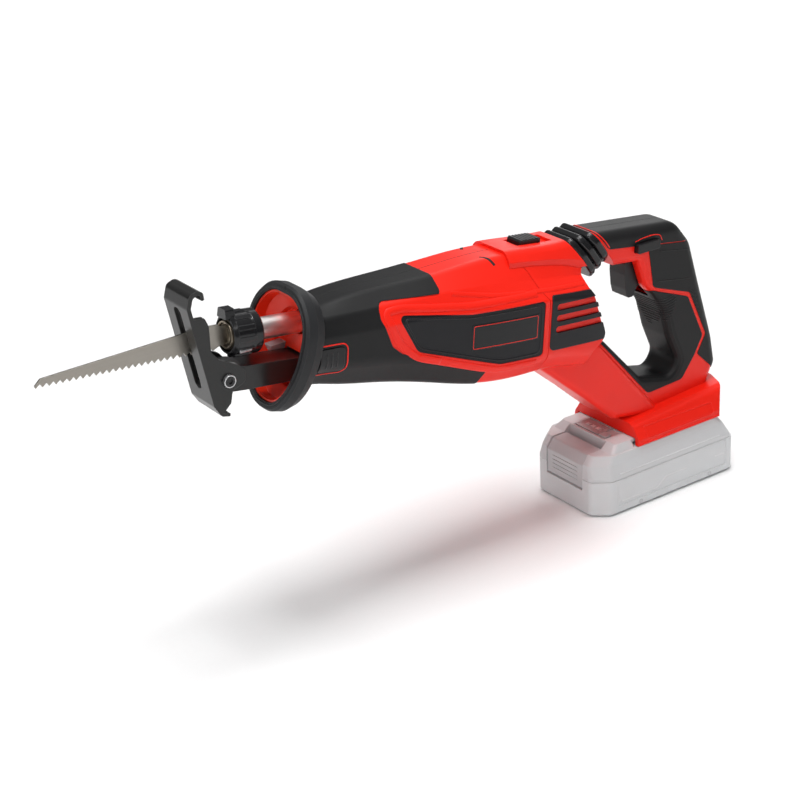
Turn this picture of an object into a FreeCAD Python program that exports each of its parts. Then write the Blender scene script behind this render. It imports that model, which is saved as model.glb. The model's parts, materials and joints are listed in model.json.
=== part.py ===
import FreeCAD, Part
import math
import os

import Sketcher
from FreeCAD import Placement, Rotation, Vector

# Cordless reciprocating saw, millimetres, +Z up.
# Row frame: origin at the centre of the battery's flat bottom, blade towards -X.
# Tool frame: X along the blade spindle towards the handle, tilted about Y from the row frame.

doc = FreeCAD.newDocument("reciprocating_saw")

# ---------------------------------------------------------------- driving dimensions

DIMENSIONS = {
    "tool_tilt": 6.0,
    "spindle_height": 176.9,
    "spindle_setback": 59.5,
    "blade_thickness": 1.25,
    "blade_slot": 1.75,
    "tooth_pitch": 4.23,
    "tooth_depth": 2.4,
    "shank_half": 6.0,
    "spindle_radius": 7.0,
    "spindle_length": 149.0,
    "clamp_radius": 10.2,
    "collar_radius": 13.6,
    "collar_ribs": 12,
    "collar_rib_length": 11.5,
    "lever_length": 6.5,
    "cross_pin_radius": 2.0,
    "cross_pin_length": 18.0,
    "running_fit": 0.05,
    "moving_gap": 0.4,
    "bush_wall": 2.0,
    "bush_length": 17.0,
    "stroke": 22.0,
    "gear_teeth": 40,
    "pinion_teeth": 8,
    "gear_module": 1.1,
    "axle_radius": 5.0,
    "motor_shaft_radius": 2.5,
    "motor_axis_height": -26.5,
    "motor_shaft_length": 124.0,
    "rotor_radius": 12.4,
    "rotor_length": 44.0,
    "stator_radius": 22.0,
    "stator_length": 52.0,
    "fan_radius": 20.5,
    "fan_blades": 11,
    "bearing_radius": 8.0,
    "shoe_width": 28.0,
    "shoe_slot_width": 8.0,
    "pivot_radius": 4.0,
    "arm_width": 20.0,
    "sleeve_wall": 2.0,
    "housing_wall": 2.3,
    "inlay_wall": 2.0,
    "seam_gap": 0.4,
    "ring_depth": 15.0,
    "ring_land": 8.0,
    "handle_width": 34.0,
    "handle_round": 8.0,
    "skin_wall": 2.0,
    "core_wall": 2.5,
    "trigger_width": 16.0,
    "bellows_lean": 40.0,
    "bellows_thickness": 5.6,
    "battery_width": 76.0,
    "battery_length": 133.0,
    "tray_height": 27.4,
    "battery_wall": 1.8,
    "cell_radius": 9.0,
    "cell_length": 65.0,
    "cell_pitch": 19.4,
    "latch_width": 39.0,
}

sheet = doc.addObject("Spreadsheet::Sheet", "dims")
for row, (alias, value) in enumerate(DIMENSIONS.items(), start=1):
    sheet.set("A%d" % row, alias)
    sheet.set("B%d" % row, str(value))
    sheet.setAlias("B%d" % row, alias)
doc.recompute()


def dim(alias):
    """Value of one driving dimension, read from the sheet."""
    return float(sheet.get(alias))


GAP = dim("moving_gap")
ROW = Placement()
TOOL = Placement(Vector(-dim("spindle_setback"), 0, dim("spindle_height")),
                 Rotation(Vector(0, 1, 0), dim("tool_tilt")))
nodes = {}

# ---------------------------------------------------------------- geometry helpers


def corner_geometry(points, radii):
    """Segments and arcs of a closed outline whose corners are rounded by the given radii."""
    count = len(points)
    starts, ends, arcs = [], [], []
    for index, corner in enumerate(points):
        before = (points[index - 1] - corner).normalize()
        after = (points[(index + 1) % count] - corner).normalize()
        radius = radii[index]
        if radius == 0:
            starts.append(corner)
            ends.append(corner)
            arcs.append(None)
            continue
        half = before.getAngle(after) / 2
        reach = radius / math.tan(half)
        bisector = (before + after).normalize()
        middle = corner + bisector * (radius / math.sin(half) - radius)
        starts.append(corner + before * reach)
        ends.append(corner + after * reach)
        arcs.append(Part.Arc(starts[-1], middle, ends[-1]))
    geometry = []
    for index in range(count):
        if arcs[index]:
            geometry.append(arcs[index])
        following = starts[(index + 1) % count]
        if ends[index].distanceToPoint(following) > 1e-6:
            geometry.append(Part.LineSegment(ends[index], following))
    return geometry


def spread(radii, count):
    """One radius per corner: a single number is used for every corner."""
    return [radii] * count if isinstance(radii, (int, float)) else list(radii)


def plane_point(plane, u, v, level):
    """Point of a plane named by its two axes, at a level along the third one."""
    if plane == "XY":
        return Vector(u, v, level)
    if plane == "XZ":
        return Vector(u, level, v)
    return Vector(level, u, v)


def outline_wire(plane, points, radii=0, level=0.0):
    """Closed wire through (u, v) points of a plane, corners rounded."""
    corners = [plane_point(plane, u, v, level) for u, v in points]
    geometry = corner_geometry(corners, spread(radii, len(corners)))
    return Part.Wire([piece.toShape() for piece in geometry])


def prism(plane, points, low, high, radii=0):
    """Solid with the given outline, from level low to level high of the plane's normal."""
    face = Part.Face(outline_wire(plane, points, radii, low))
    return face.extrude(plane_point(plane, 0, 0, high - low))


def block(x0, x1, y0, y1, z0, z1):
    """Box between two corners."""
    return Part.makeBox(x1 - x0, y1 - y0, z1 - z0, Vector(x0, y0, z0))


def rod(radius, start, length, axis):
    """Cylinder from a start point along an axis."""
    return Part.makeCylinder(radius, length, Vector(*start), Vector(*axis))


def tube(outer, inner, start, length, axis):
    """Ring-shaped cylinder."""
    return rod(outer, start, length, axis).cut(rod(inner, start, length, axis))


def loft(wires, ruled=False):
    """Closed solid through wires with matching edges."""
    return Part.makeLoft(wires, True, ruled)


def solid_only(shape):
    """Largest solid of a boolean's result."""
    return max(shape.removeSplitter().Solids, key=lambda solid: solid.Volume)


def mirrored(points):
    """Closed symmetric outline from its +u half, listed from the top down."""
    return list(points) + [(-u, v) for u, v in reversed(points)]


def mirror_y(shape):
    """Mirror image across the saw's middle plane."""
    return shape.mirror(Vector(0, 0, 0), Vector(0, 1, 0))


# ---------------------------------------------------------------- document helpers


def keep(label, obj, place=TOOL):
    """Registers one sub-part: its label is the name of its file."""
    obj.Label = label
    obj.Placement = place
    nodes[label] = obj
    return obj


def feature(label, shape, place=TOOL):
    """Free-form sub-part made with Part's functions."""
    obj = doc.addObject("Part::Feature", label)
    obj.Shape = shape
    return keep(label, obj, place.multiply(shape.Placement))


def new_body(label, place=TOOL):
    """Empty PartDesign body that becomes one sub-part."""
    return keep(label, doc.addObject("PartDesign::Body", label), place)


def sketch_on(body, role, level=0.0):
    """Sketch on one of the body's own origin planes, shifted along its normal."""
    sketch = body.newObject("Sketcher::SketchObject", body.Label + "_sketch")
    plane = next(item for item in body.Origin.OriginFeatures if item.Role == role)
    sketch.AttachmentSupport = [(plane, "")]
    sketch.MapMode = "FlatFace"
    sketch.AttachmentOffset = Placement(Vector(0, 0, level), Rotation())
    return sketch


def add_outline(sketch, points, radii=0):
    """Draws a closed outline with rounded corners in a sketch."""
    corners = [Vector(u, v, 0) for u, v in points]
    sketch.addGeometry(corner_geometry(corners, spread(radii, len(corners))), False)


def add_circle(sketch, centre, alias):
    """Draws a circle whose radius constraint follows a cell of the sheet."""
    circle = Part.Circle(Vector(centre[0], centre[1], 0), Vector(0, 0, 1), dim(alias))
    index = sketch.addGeometry(circle, False)
    constraint = sketch.addConstraint(Sketcher.Constraint("Radius", index, dim(alias)))
    sketch.setExpression("Constraints[%d]" % constraint, "dims." + alias)


def pad(body, sketch, length, middle=False, backwards=False):
    """Pad whose length is an expression of the sheet's cells."""
    result = body.newObject("PartDesign::Pad", body.Label + "_pad")
    result.Profile = sketch
    result.setExpression("Length", length)
    result.Midplane = middle
    result.Reversed = backwards
    doc.recompute()
    return result


def pocket(body, sketch, length, middle=False, backwards=False):
    """Pocket whose depth is an expression; it has to remove material."""
    before = body.Shape.Volume
    result = body.newObject("PartDesign::Pocket", body.Label + "_pocket")
    result.Profile = sketch
    result.setExpression("Length", length)
    result.Midplane = middle
    result.Reversed = backwards
    doc.recompute()
    if body.Shape.Volume > before - 1e-3:
        raise RuntimeError(body.Label + ": a pocket cuts nothing")
    return result


def turned(body, points, radii=0):
    """Revolution about X of an outline given as (x, radius)."""
    sketch = sketch_on(body, "XZ_Plane")
    add_outline(sketch, points, radii)
    result = body.newObject("PartDesign::Revolution", body.Label + "_turned")
    result.Profile = sketch
    result.ReferenceAxis = (sketch, ["H_Axis"])
    result.Angle = 360
    doc.recompute()
    return result


def around(body, item, role, count):
    """Repeats a feature around one of the body's origin axes."""
    axis = next(entry for entry in body.Origin.OriginFeatures if entry.Role == role)
    pattern = body.newObject("PartDesign::PolarPattern", body.Label + "_pattern")
    pattern.Originals = [item]
    pattern.Axis = (axis, [""])
    pattern.Angle = 360
    pattern.setExpression("Occurrences", count)
    body.Tip = pattern
    doc.recompute()
    return pattern


def ring_node(label, inner, outer, length, start, place=TOOL):
    """Bush or bearing along X: two cylinders and a cut, all bound to the sheet."""
    rings = []
    for suffix, radius in (("outer", outer), ("inner", inner)):
        cylinder = doc.addObject("Part::Cylinder", label + "_" + suffix)
        cylinder.setExpression("Radius", radius)
        cylinder.setExpression("Height", length)
        cylinder.Placement = Placement(Vector(*start), ALONG_X)
        rings.append(cylinder)
    ring = doc.addObject("Part::Cut", label)
    ring.Base, ring.Tool = rings
    return keep(label, ring, place)


def rod_node(label, radius, length, start, turn, place=TOOL):
    """Plain rod: one cylinder bound to the sheet, turned from +Z to its own direction."""
    cylinder = doc.addObject("Part::Cylinder", label)
    cylinder.setExpression("Radius", radius)
    cylinder.setExpression("Height", length)
    return keep(label, cylinder, place.multiply(Placement(Vector(*start), turn)))


ALONG_X = Rotation(Vector(0, 1, 0), 90)
ALONG_Y = Rotation(Vector(1, 0, 0), -90)

# ---------------------------------------------------------------- blade, clamp and spindle

BLADE_TIP = (-396.0, -11.5)
BLADE_HEEL = (-280.0, -8.5)
CLAMP_FRONT = -270.6
CLAMP_REAR = -252.5
CROSS_PIN_X = -265.0
SPINDLE_FRONT = -260.0
SHANK_END = -261.0


def blade_outline():
    """Tapered blade with an angled tip, a row of raked teeth and a narrow shank."""
    shank = dim("shank_half")
    run = BLADE_HEEL[0] - BLADE_TIP[0]
    slope = (BLADE_HEEL[1] - BLADE_TIP[1]) / run
    count = int(run / dim("tooth_pitch"))
    points = [(-393, -6), (-297, 6), (-288, 7.5), (-277, 7.5), (-275, shank)]
    points += [(SHANK_END, shank), (SHANK_END, -shank), (-275, -shank), BLADE_HEEL]
    for index in range(count, 0, -1):
        x = BLADE_TIP[0] + index * dim("tooth_pitch")
        z = BLADE_TIP[1] + (x - BLADE_TIP[0]) * slope
        points.append((x - 0.35 * dim("tooth_pitch"), z + dim("tooth_depth")))
        points.append((x - 0.98 * dim("tooth_pitch"), z))
    points.append((BLADE_TIP[0] - 0.6, BLADE_TIP[1] + 1.4))
    return points


def make_blade():
    body = new_body("blade")
    sketch = sketch_on(body, "XZ_Plane")
    add_outline(sketch, blade_outline())
    pad(body, sketch, "dims.blade_thickness", middle=True)
    hole = sketch_on(body, "XZ_Plane")
    circle = Part.Circle(Vector(CROSS_PIN_X, 0, 0), Vector(0, 0, 1), dim("cross_pin_radius") + 0.2)
    hole.addGeometry(circle, False)
    pocket(body, hole, "dims.blade_thickness * 2", middle=True)


def make_clamp_core():
    rim = dim("clamp_radius")
    bore = dim("spindle_radius")
    body = new_body("clamp_core")
    turned(body, [(CLAMP_FRONT, 0), (CLAMP_FRONT, rim - 2), (CLAMP_FRONT + 1.6, rim),
                  (CLAMP_FRONT + 4, rim), (CLAMP_FRONT + 4, rim - 0.8), (CLAMP_REAR, rim - 0.8),
                  (CLAMP_REAR, bore), (SPINDLE_FRONT, bore), (SPINDLE_FRONT, 0)])
    slot = sketch_on(body, "XZ_Plane")
    reach = dim("shank_half") + 0.3
    add_outline(slot, [(CLAMP_FRONT - 1, -reach), (SHANK_END + 0.5, -reach),
                       (SHANK_END + 0.5, reach), (CLAMP_FRONT - 1, reach)])
    pocket(body, slot, "dims.blade_slot", middle=True)
    hole = sketch_on(body, "XZ_Plane")
    hole.addGeometry(Part.Circle(Vector(CROSS_PIN_X, 0, 0), Vector(0, 0, 1),
                                 dim("cross_pin_radius") + dim("running_fit")), False)
    pocket(body, hole, "dims.clamp_radius * 3", middle=True)


def make_clamp_collar():
    outer = dim("collar_radius")
    bore = dim("clamp_radius") + 0.5
    narrow = dim("clamp_radius") - 0.3
    body = new_body("clamp_collar")
    front, rear = -271.0, -251.5
    turned(body, [(front, bore), (front, outer - 1.8), (front + 2, outer), (-258.5, outer),
                  (-257, outer + 0.4), (rear - 1, outer + 0.4), (rear, outer - 0.4),
                  (rear, narrow), (CLAMP_FRONT + 4.5, narrow), (CLAMP_FRONT + 4.5, bore)])
    rib = sketch_on(body, "YZ_Plane", front + 2)
    add_outline(rib, [(-1.9, outer - 1), (1.9, outer - 1), (1.3, outer + 0.8), (-1.3, outer + 0.8)])
    around(body, pad(body, rib, "dims.collar_rib_length"), "X_Axis", "dims.collar_ribs")
    lever = sketch_on(body, "YZ_Plane", front - 3)
    add_outline(lever, [(-5.5, 11), (5.5, 11), (4.3, 17.3), (-4.3, 17.3)], [0.8, 0.8, 1.5, 1.5])
    body.Tip = pad(body, lever, "dims.lever_length")


def make_spindle():
    body = new_body("spindle")
    sketch = sketch_on(body, "YZ_Plane", SPINDLE_FRONT)
    add_circle(sketch, (0, 0), "spindle_radius")
    pad(body, sketch, "dims.spindle_length")
    rod_node("clamp_pin", "dims.cross_pin_radius", "dims.cross_pin_length",
             (CROSS_PIN_X, -dim("cross_pin_length") / 2, 0), ALONG_Y)


YOKE_X = -165.0
CRANK_RADIUS = dim("stroke") / 2
CRANK_X = YOKE_X + CRANK_RADIUS
YOKE_FLOOR = -14.5


def make_yoke():
    """Slotted cross-head fixed on the spindle, above the crank pin."""
    slab = block(YOKE_X - 7, YOKE_X + 7, -18, 18, YOKE_FLOOR, -7.4)
    slot = block(YOKE_X - 4.3, YOKE_X + 4.3, -15.5, 15.5, YOKE_FLOOR, -7.4)
    hub = block(YOKE_X - 7, YOKE_X + 7, -10, 10, -7.4, 9.4)
    bore = rod(dim("spindle_radius"), (YOKE_X - 8, 0, 0), 16, (1, 0, 0))
    feature("yoke", slab.cut(slot).fuse(hub).cut(bore).removeSplitter())


make_blade()
make_clamp_core()
make_clamp_collar()
make_spindle()
make_yoke()

# ---------------------------------------------------------------- shoe

PIVOT = (-277.0, -24.0)

# Side view of the bent strip: rolled top, leaning plate and hooked foot, front face then back.
SHOE_FRONT = [(-293.5, 29.5), (-294.5, 34), (-298, 36), (-303.8, 33.5), (-305.4, 25),
              (-286.8, -39.5), (-281.5, -46.5), (-275.5, -47.5)]
SHOE_BACK = [(-275.5, -45.2), (-280.3, -44.5), (-284.2, -38.5), (-302.6, 25),
             (-301.4, 31), (-298, 33.4), (-296.6, 32.4), (-295.6, 29)]
SHOE_CORNERS = [0.8, 2, 4, 4, 3, 4, 3, 0.8, 0.8, 2, 2, 2, 2, 1.2, 1.5, 0.8]
CHEEK_SIDE = [(-302, 18.3), (-293.5, 18.3), (-290.5, 12.5), (-289, -4), (-283, -10), (-270, -15),
              (-265, -20), (-265, -27), (-274, -31), (-275, -39), (-280.5, -45), (-285.5, -39)]
CHEEK_CORNERS = [0.5, 2, 6, 4, 4, 4, 3, 4, 4, 3, 0.5, 0.5]
ARM_SIDE = [(-285, -15), (-262, -18.5), (-207, -20.5), (-207, -34.5), (-262, -34), (-283, -33)]


def make_shoe():
    body = new_body("shoe_plate")
    side = sketch_on(body, "XZ_Plane")
    add_outline(side, SHOE_FRONT + SHOE_BACK, SHOE_CORNERS)
    pad(body, side, "dims.shoe_width", middle=True)
    slot = sketch_on(body, "YZ_Plane", -320)
    half = dim("shoe_slot_width") / 2
    add_outline(slot, [(-half, -31), (half, -31), (half, 23), (-half, 23)], half - 0.2)
    pocket(body, slot, "100", backwards=True)
    inner = dim("arm_width") / 2 + 0.5
    for sign in (-1, 1):
        flange = sketch_on(body, "XZ_Plane", sign * -(inner + dim("shoe_width") / 2) / 2)
        add_outline(flange, CHEEK_SIDE, CHEEK_CORNERS)
        pad(body, flange, "dims.shoe_width / 2 - dims.arm_width / 2 - 0.5", middle=True)
    hole = sketch_on(body, "XZ_Plane")
    circle = Part.Circle(Vector(*PIVOT, 0), Vector(0, 0, 1), dim("pivot_radius") + GAP / 4)
    hole.addGeometry(circle, False)
    pocket(body, hole, "dims.shoe_width * 2", middle=True)


def make_shoe_arm():
    """Flat bar that slides into the nose; its front end carries the pivot pin."""
    body = new_body("shoe_arm")
    side = sketch_on(body, "XZ_Plane")
    add_outline(side, ARM_SIDE, [4, 3, 1, 1, 3, 4])
    pad(body, side, "dims.arm_width", middle=True)
    hole = sketch_on(body, "XZ_Plane")
    add_circle(hole, PIVOT, "pivot_radius")
    pocket(body, hole, "dims.shoe_width * 2", middle=True)
    pin = new_body("pivot_pin")
    shank = sketch_on(pin, "XZ_Plane")
    add_circle(shank, PIVOT, "pivot_radius")
    pad(pin, shank, "dims.shoe_width + 3", middle=True)
    recess = sketch_on(pin, "XZ_Plane", dim("shoe_width") / 2 + 1.5)
    hexagon = [(PIVOT[0] + 2.5 * math.cos(step * math.pi / 3),
                PIVOT[1] + 2.5 * math.sin(step * math.pi / 3)) for step in range(6)]
    add_outline(recess, hexagon)
    pocket(pin, recess, "3")


make_shoe()
make_shoe_arm()

# ---------------------------------------------------------------- drive

MOTOR_Z = dim("motor_axis_height")
GEAR_RADIUS = dim("gear_module") * dim("gear_teeth") / 2
PINION_RADIUS = dim("gear_module") * dim("pinion_teeth") / 2
GEAR_ROOT = -20.8
GEAR_TIP = -23.2
GEAR_TOP = -16.2
PINION_X = CRANK_X + GEAR_RADIUS
PINION_WIDTH = 4.8


def gear_tooth():
    """One tooth of the face gear, tapered towards its tip, on the gear's +X side."""
    inner, outer = GEAR_RADIUS - 3, GEAR_RADIUS + 2
    base, tip = 0.65, 0.4
    low = [(inner, -base), (outer, -base), (outer, base), (inner, base)]
    high = [(inner, -tip), (outer, -tip), (outer, tip), (inner, tip)]
    return loft([outline_wire("XY", low, 0, GEAR_ROOT), outline_wire("XY", high, 0, GEAR_TIP)], True)


def make_crank_gear():
    """Face gear with its crank stub; half a tooth off, so that a gap faces the pinion."""
    up = (0, 0, 1)
    disc = rod(GEAR_RADIUS + 2, (0, 0, GEAR_ROOT), GEAR_TOP - GEAR_ROOT, up)
    hub = rod(9, (0, 0, -30), 30 + GEAR_ROOT, up)
    stub = rod(4, (-CRANK_RADIUS, 0, GEAR_TOP), YOKE_FLOOR - 0.5 - GEAR_TOP, up)
    bore = rod(dim("axle_radius") + dim("running_fit"), (0, 0, -31), 31 + GEAR_TOP, up)
    pitch = 360 / dim("gear_teeth")
    teeth = []
    for index in range(int(dim("gear_teeth"))):
        tooth = gear_tooth()
        tooth.rotate(Vector(0, 0, 0), Vector(0, 0, 1), (index + 0.5) * pitch)
        teeth.append(tooth)
    shape = disc.fuse([hub, stub] + teeth).cut(bore)
    for angle in (-50, 0, 50):
        hole = rod(3.2, (13, 0, GEAR_ROOT - 1), GEAR_TOP - GEAR_ROOT + 2, up)
        hole.rotate(Vector(0, 0, 0), Vector(0, 0, 1), angle)
        shape = shape.cut(hole)
    shape.translate(Vector(CRANK_X, 0, 0))
    feature("crank_gear", shape)


def make_pinion():
    """Small straight-toothed pinion at the end of the motor shaft, one tooth up."""
    root = PINION_RADIUS - 1.3
    tip = PINION_RADIUS + 1.0
    blank = rod(root, (0, 0, 0), PINION_WIDTH, (1, 0, 0))
    section = [(-0.75, root - 0.6), (0.75, root - 0.6), (0.38, tip), (-0.38, tip)]
    teeth = []
    for index in range(int(dim("pinion_teeth"))):
        tooth = prism("YZ", section, 0, PINION_WIDTH)
        tooth.rotate(Vector(0, 0, 0), Vector(1, 0, 0), index * 360 / dim("pinion_teeth"))
        teeth.append(tooth)
    shape = blank.fuse(teeth).cut(rod(dim("motor_shaft_radius"), (-1, 0, 0), 8, (1, 0, 0)))
    shape.translate(Vector(PINION_X - PINION_WIDTH / 2, 0, MOTOR_Z))
    feature("pinion", shape.removeSplitter())


SHAFT_FRONT = PINION_X - PINION_WIDTH / 2
BRACKET = (-124.0, -113.0)
TUNNEL_FRONT = -213.0
STATOR_FRONT = -88.0
BELL = (-33.0, -27.5)
FAN_FRONT = -24.0


def make_motor():
    shaft = new_body("motor_shaft")
    section = sketch_on(shaft, "YZ_Plane", SHAFT_FRONT)
    circle = Part.Circle(Vector(0, MOTOR_Z, 0), Vector(0, 0, 1), dim("motor_shaft_radius"))
    section.addGeometry(circle, False)
    pad(shaft, section, "dims.motor_shaft_length")
    ring_node("rotor", "dims.motor_shaft_radius", "dims.rotor_radius", "dims.rotor_length",
              (STATOR_FRONT + 4, 0, MOTOR_Z))
    ring_node("stator", "dims.rotor_radius + 0.6", "dims.stator_radius", "dims.stator_length",
              (STATOR_FRONT, 0, MOTOR_Z))
    for label, start in (("motor_bearing_front", -121.0), ("motor_bearing_rear", BELL[0])):
        ring_node(label, "dims.motor_shaft_radius + dims.running_fit", "dims.bearing_radius", "5.5",
                  (start, 0, MOTOR_Z))
    hub = tube(6, dim("motor_shaft_radius"), (0, 0, 0), 8, (1, 0, 0))
    back = tube(dim("fan_radius"), dim("motor_shaft_radius"), (6.5, 0, 0), 1.5, (1, 0, 0))
    vane = block(0, 6.5, 5.5, dim("fan_radius"), -0.7, 0.7)
    vanes = []
    for index in range(int(dim("fan_blades"))):
        copy = vane.copy()
        copy.rotate(Vector(0, 0, 0), Vector(1, 0, 0), index * 360 / dim("fan_blades"))
        vanes.append(copy)
    fan = hub.fuse([back] + vanes).removeSplitter()
    fan.translate(Vector(FAN_FRONT, 0, MOTOR_Z))
    feature("cooling_fan", fan)


def make_bushes():
    bore = "dims.spindle_radius + dims.running_fit"
    ring_node("front_bush", bore, "dims.spindle_radius + dims.bush_wall", "dims.bush_length",
              (TUNNEL_FRONT, 0, 0))
    ring_node("rear_bush", bore, "dims.spindle_radius + dims.bush_wall", "11", (BRACKET[0], 0, 0))
    rod_node("gear_axle", "dims.axle_radius", "16.5", (CRANK_X, 0, -33.5), Rotation())


make_crank_gear()
make_pinion()
make_motor()
make_bushes()

# ---------------------------------------------------------------- main housing

# Cross-sections of the main body from nose to rear. Each one is a rounded ten-sided outline:
# x, half-width and height of the top, of the shoulder, of the flank's upper and lower edge,
# and of the bottom.
STATIONS = [
    (-232, 13, 13.0, 23, 7, 28.4, -4, -22, 14, -40.0),
    (-200, 13, 15.0, 23.5, 8, 29, -3, -23, 14, -41.5),
    (-165, 14, 18.6, 25.5, 10, 31, -2, -26, 16, -46.0),
    (-130, 15, 21.2, 27.5, 12, 34.2, -1, -33, 20, -51.5),
    (-96, 15, 25.0, 27.5, 12, 37.2, -1.5, -42, 25, -57.0),
    (-60, 15, 26.4, 27, 10, 38.2, -2.5, -44, 27, -57.6),
    (-25, 15, 26.0, 25, 7, 37.0, -4.5, -44, 27, -57.2),
    (12, 14, 24.0, 22, 4, 34.0, -8, -42, 25, -55.0),
]


def station_outline(station, inset):
    """Outline points of one cross-section, moved inwards by inset."""
    x, top_half, top, shoulder_half, shoulder, flank, ledge, foot, base_half, base = station
    half = [(top_half - 0.6 * inset, top - inset),
            (shoulder_half - 0.95 * inset, shoulder - 0.3 * inset),
            (flank - inset, ledge - 0.35 * inset),
            (flank - inset, foot + 0.2 * inset),
            (base_half - 0.4 * inset, base + inset)]
    return mirrored(half)


def body_loft(inset):
    """Main body's outer skin moved inwards by inset, as one smooth solid."""
    radii = [7, 5, 5, 12, 9]
    radii = [max(radius - 0.4 * inset, 2) for radius in radii]
    wires = [outline_wire("YZ", station_outline(item, inset), radii + radii[::-1], item[0])
             for item in STATIONS]
    return loft(wires)


SKIN = body_loft(0)
SHELL = body_loft(0.5)
UNDER_SLEEVE = body_loft(dim("sleeve_wall"))
CAVITY = body_loft(dim("sleeve_wall") + dim("housing_wall"))
INSIDE = body_loft(dim("sleeve_wall") + dim("housing_wall") + 0.4)

# Side view of the rubber sleeve: it ends in an upper and a lower tongue.
SLEEVE_SIDE = [(-260, 45), (-129.4, 45), (-129.4, 12), (-176, 12), (-176, 2), (-168, -16.5),
               (-160.5, -22.3), (-96, -43.5), (-98, -75), (-260, -75)]
SLEEVE_RADII = [0, 0, 3, 5, 4, 6, 5, 4, 0, 0]
INLAY_SIDE = [(-164.5, 3), (-135, 0), (-110, -3), (-50.5, -2.8), (-50.5, -40.5), (-86, -40.5), (-97, -37.5),
              (-149, -22.8)]
INLAY_RADII = [3, 12, 12, 3, 3, 10, 10, 8]
VENT_SIDE = [(-45, -0.5), (20, -4.5), (20, -39), (-45, -38.5)]
VENT_SLOTS = (-9.0, -16.8, -24.6)
VENT_HALF = 2.35
# Side view of the housing's rear end below and in front of the handle, clockwise.
REAR_END = [(-300, 80), (-5, 80), (-5, 14), (-9, 6), (-7.5, -2), (1, -21.6), (6.5, -35.4), (4.5, -41),
            (-4, -46), (-8, -80), (-300, -80)]
REAR_END_CORNERS = [0, 0, 7, 7, 8, 8, 6, 6, 6, 0, 0]
SEAM = [(-62, 60), (-62, 22), (-56, 14), (-52, 4), (-47, -3), (-46, -40), (-49, -80)]


def side_bands(points, radii, depth):
    """Prisms through an outline of the XZ plane on both flanks, outside |y| = depth."""
    return prism("XZ", points, -80, -depth, radii), prism("XZ", points, depth, 80, radii)


def seam_prism(shift):
    """Everything in front of the seam between front and rear housing."""
    line = [(x + shift, z) for x, z in SEAM]
    return prism("XZ", [(-300, 60)] + line + [(-300, -80)], -90, 90)


def below_slant(distance):
    """Half-space in front of the bellows' slanted plane, as a large box."""
    slab = block(-400, distance, -90, 90, -200, 200)
    slab.Placement = BELLOWS
    return slab


BELLOWS = Placement(Vector(5, 0, 16), Rotation(Vector(0, 1, 0), -dim("bellows_lean")))
BELLOWS_HALF = 1.5 * dim("bellows_thickness") + 1.2
NOSE_RAKE = 11.2
NOSE = Placement(Vector(-234.7, 0, 0), Rotation(Vector(0, 1, 0), NOSE_RAKE))


def behind_nose(distance):
    """Half-space behind the nose ring's raked plane, as a large box."""
    slab = block(distance, 400, -90, 90, -200, 200)
    slab.Placement = NOSE
    return slab


def ring_outline(reach):
    """Egg-shaped outline of the nose opening, grown by reach."""
    half = [(15 + 0.35 * reach, 21 + reach), (29.5 + reach, 6 + 0.4 * reach),
            (29.5 + reach, -17 - 0.1 * reach), (22 + 0.8 * reach, -36 - 0.6 * reach),
            (10 + 0.4 * reach, -48.5 - reach)]
    return mirrored(half)


RING_RADII = [23, 24, 50, 41, 19, 19, 41, 50, 24, 23]


def ring_wire(reach, level, squeeze=1.0):
    """Nose outline at a depth behind the ring's front plane, squeezed about its middle."""
    middle = -13.5
    points = [(u * squeeze, middle + (v - middle) * squeeze) for u, v in ring_outline(reach)]
    growth = squeeze * (1 + reach / 28)
    wire = outline_wire("YZ", points, [radius * growth for radius in RING_RADII], level)
    wire.Placement = NOSE
    return wire


def make_nose():
    """Rubber ring, red funnel behind it and the clear lens of the work light."""
    land, depth = dim("ring_land"), dim("ring_depth")
    body = loft([ring_wire(4.2, 0), ring_wire(5.4, 1.6), ring_wire(5.4, land),
                 ring_wire(2.2, depth)], True)
    opening = loft([ring_wire(0, -1), ring_wire(0, land), ring_wire(0, depth + 1)], True)
    feature("nose_ring", body.cut(opening))
    back = 18.6
    outer = loft([ring_wire(-0.1, 1.5), ring_wire(-0.1, 9.5), ring_wire(-1.5, 14.2, 0.78),
                  ring_wire(-1.5, back, 0.77)], True)
    inner = loft([ring_wire(-1.5, 1.4), ring_wire(-1.5, 9), ring_wire(-3.1, 13.6, 0.78),
                  ring_wire(-3.1, back - 1.6, 0.77)], True)
    funnel = outer.cut(inner)
    funnel = funnel.cut(rod(8.2, (-260, 0, 0), 60, (1, 0, 0)))
    socket = block(-240, -190, -11.2, 11.2, -36.6, -18.6)
    lens = prism("XZ", [(-232, -17.8), (-214.6, -15.6), (-214.6, -23.6), (-229, -23.6)], 11.8, 19, 0.6)
    feature("nose_funnel", solid_only(funnel.cut(socket).cut(lens)))
    feature("lamp_lens", lens)
    feature("lamp_board", block(-214.3, -213.1, 11.8, 19, -25, -14.6))
    return outer


CASE_FRONT = CRANK_X - 25.5
CASE_REAR = CRANK_X + 26.0


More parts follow.
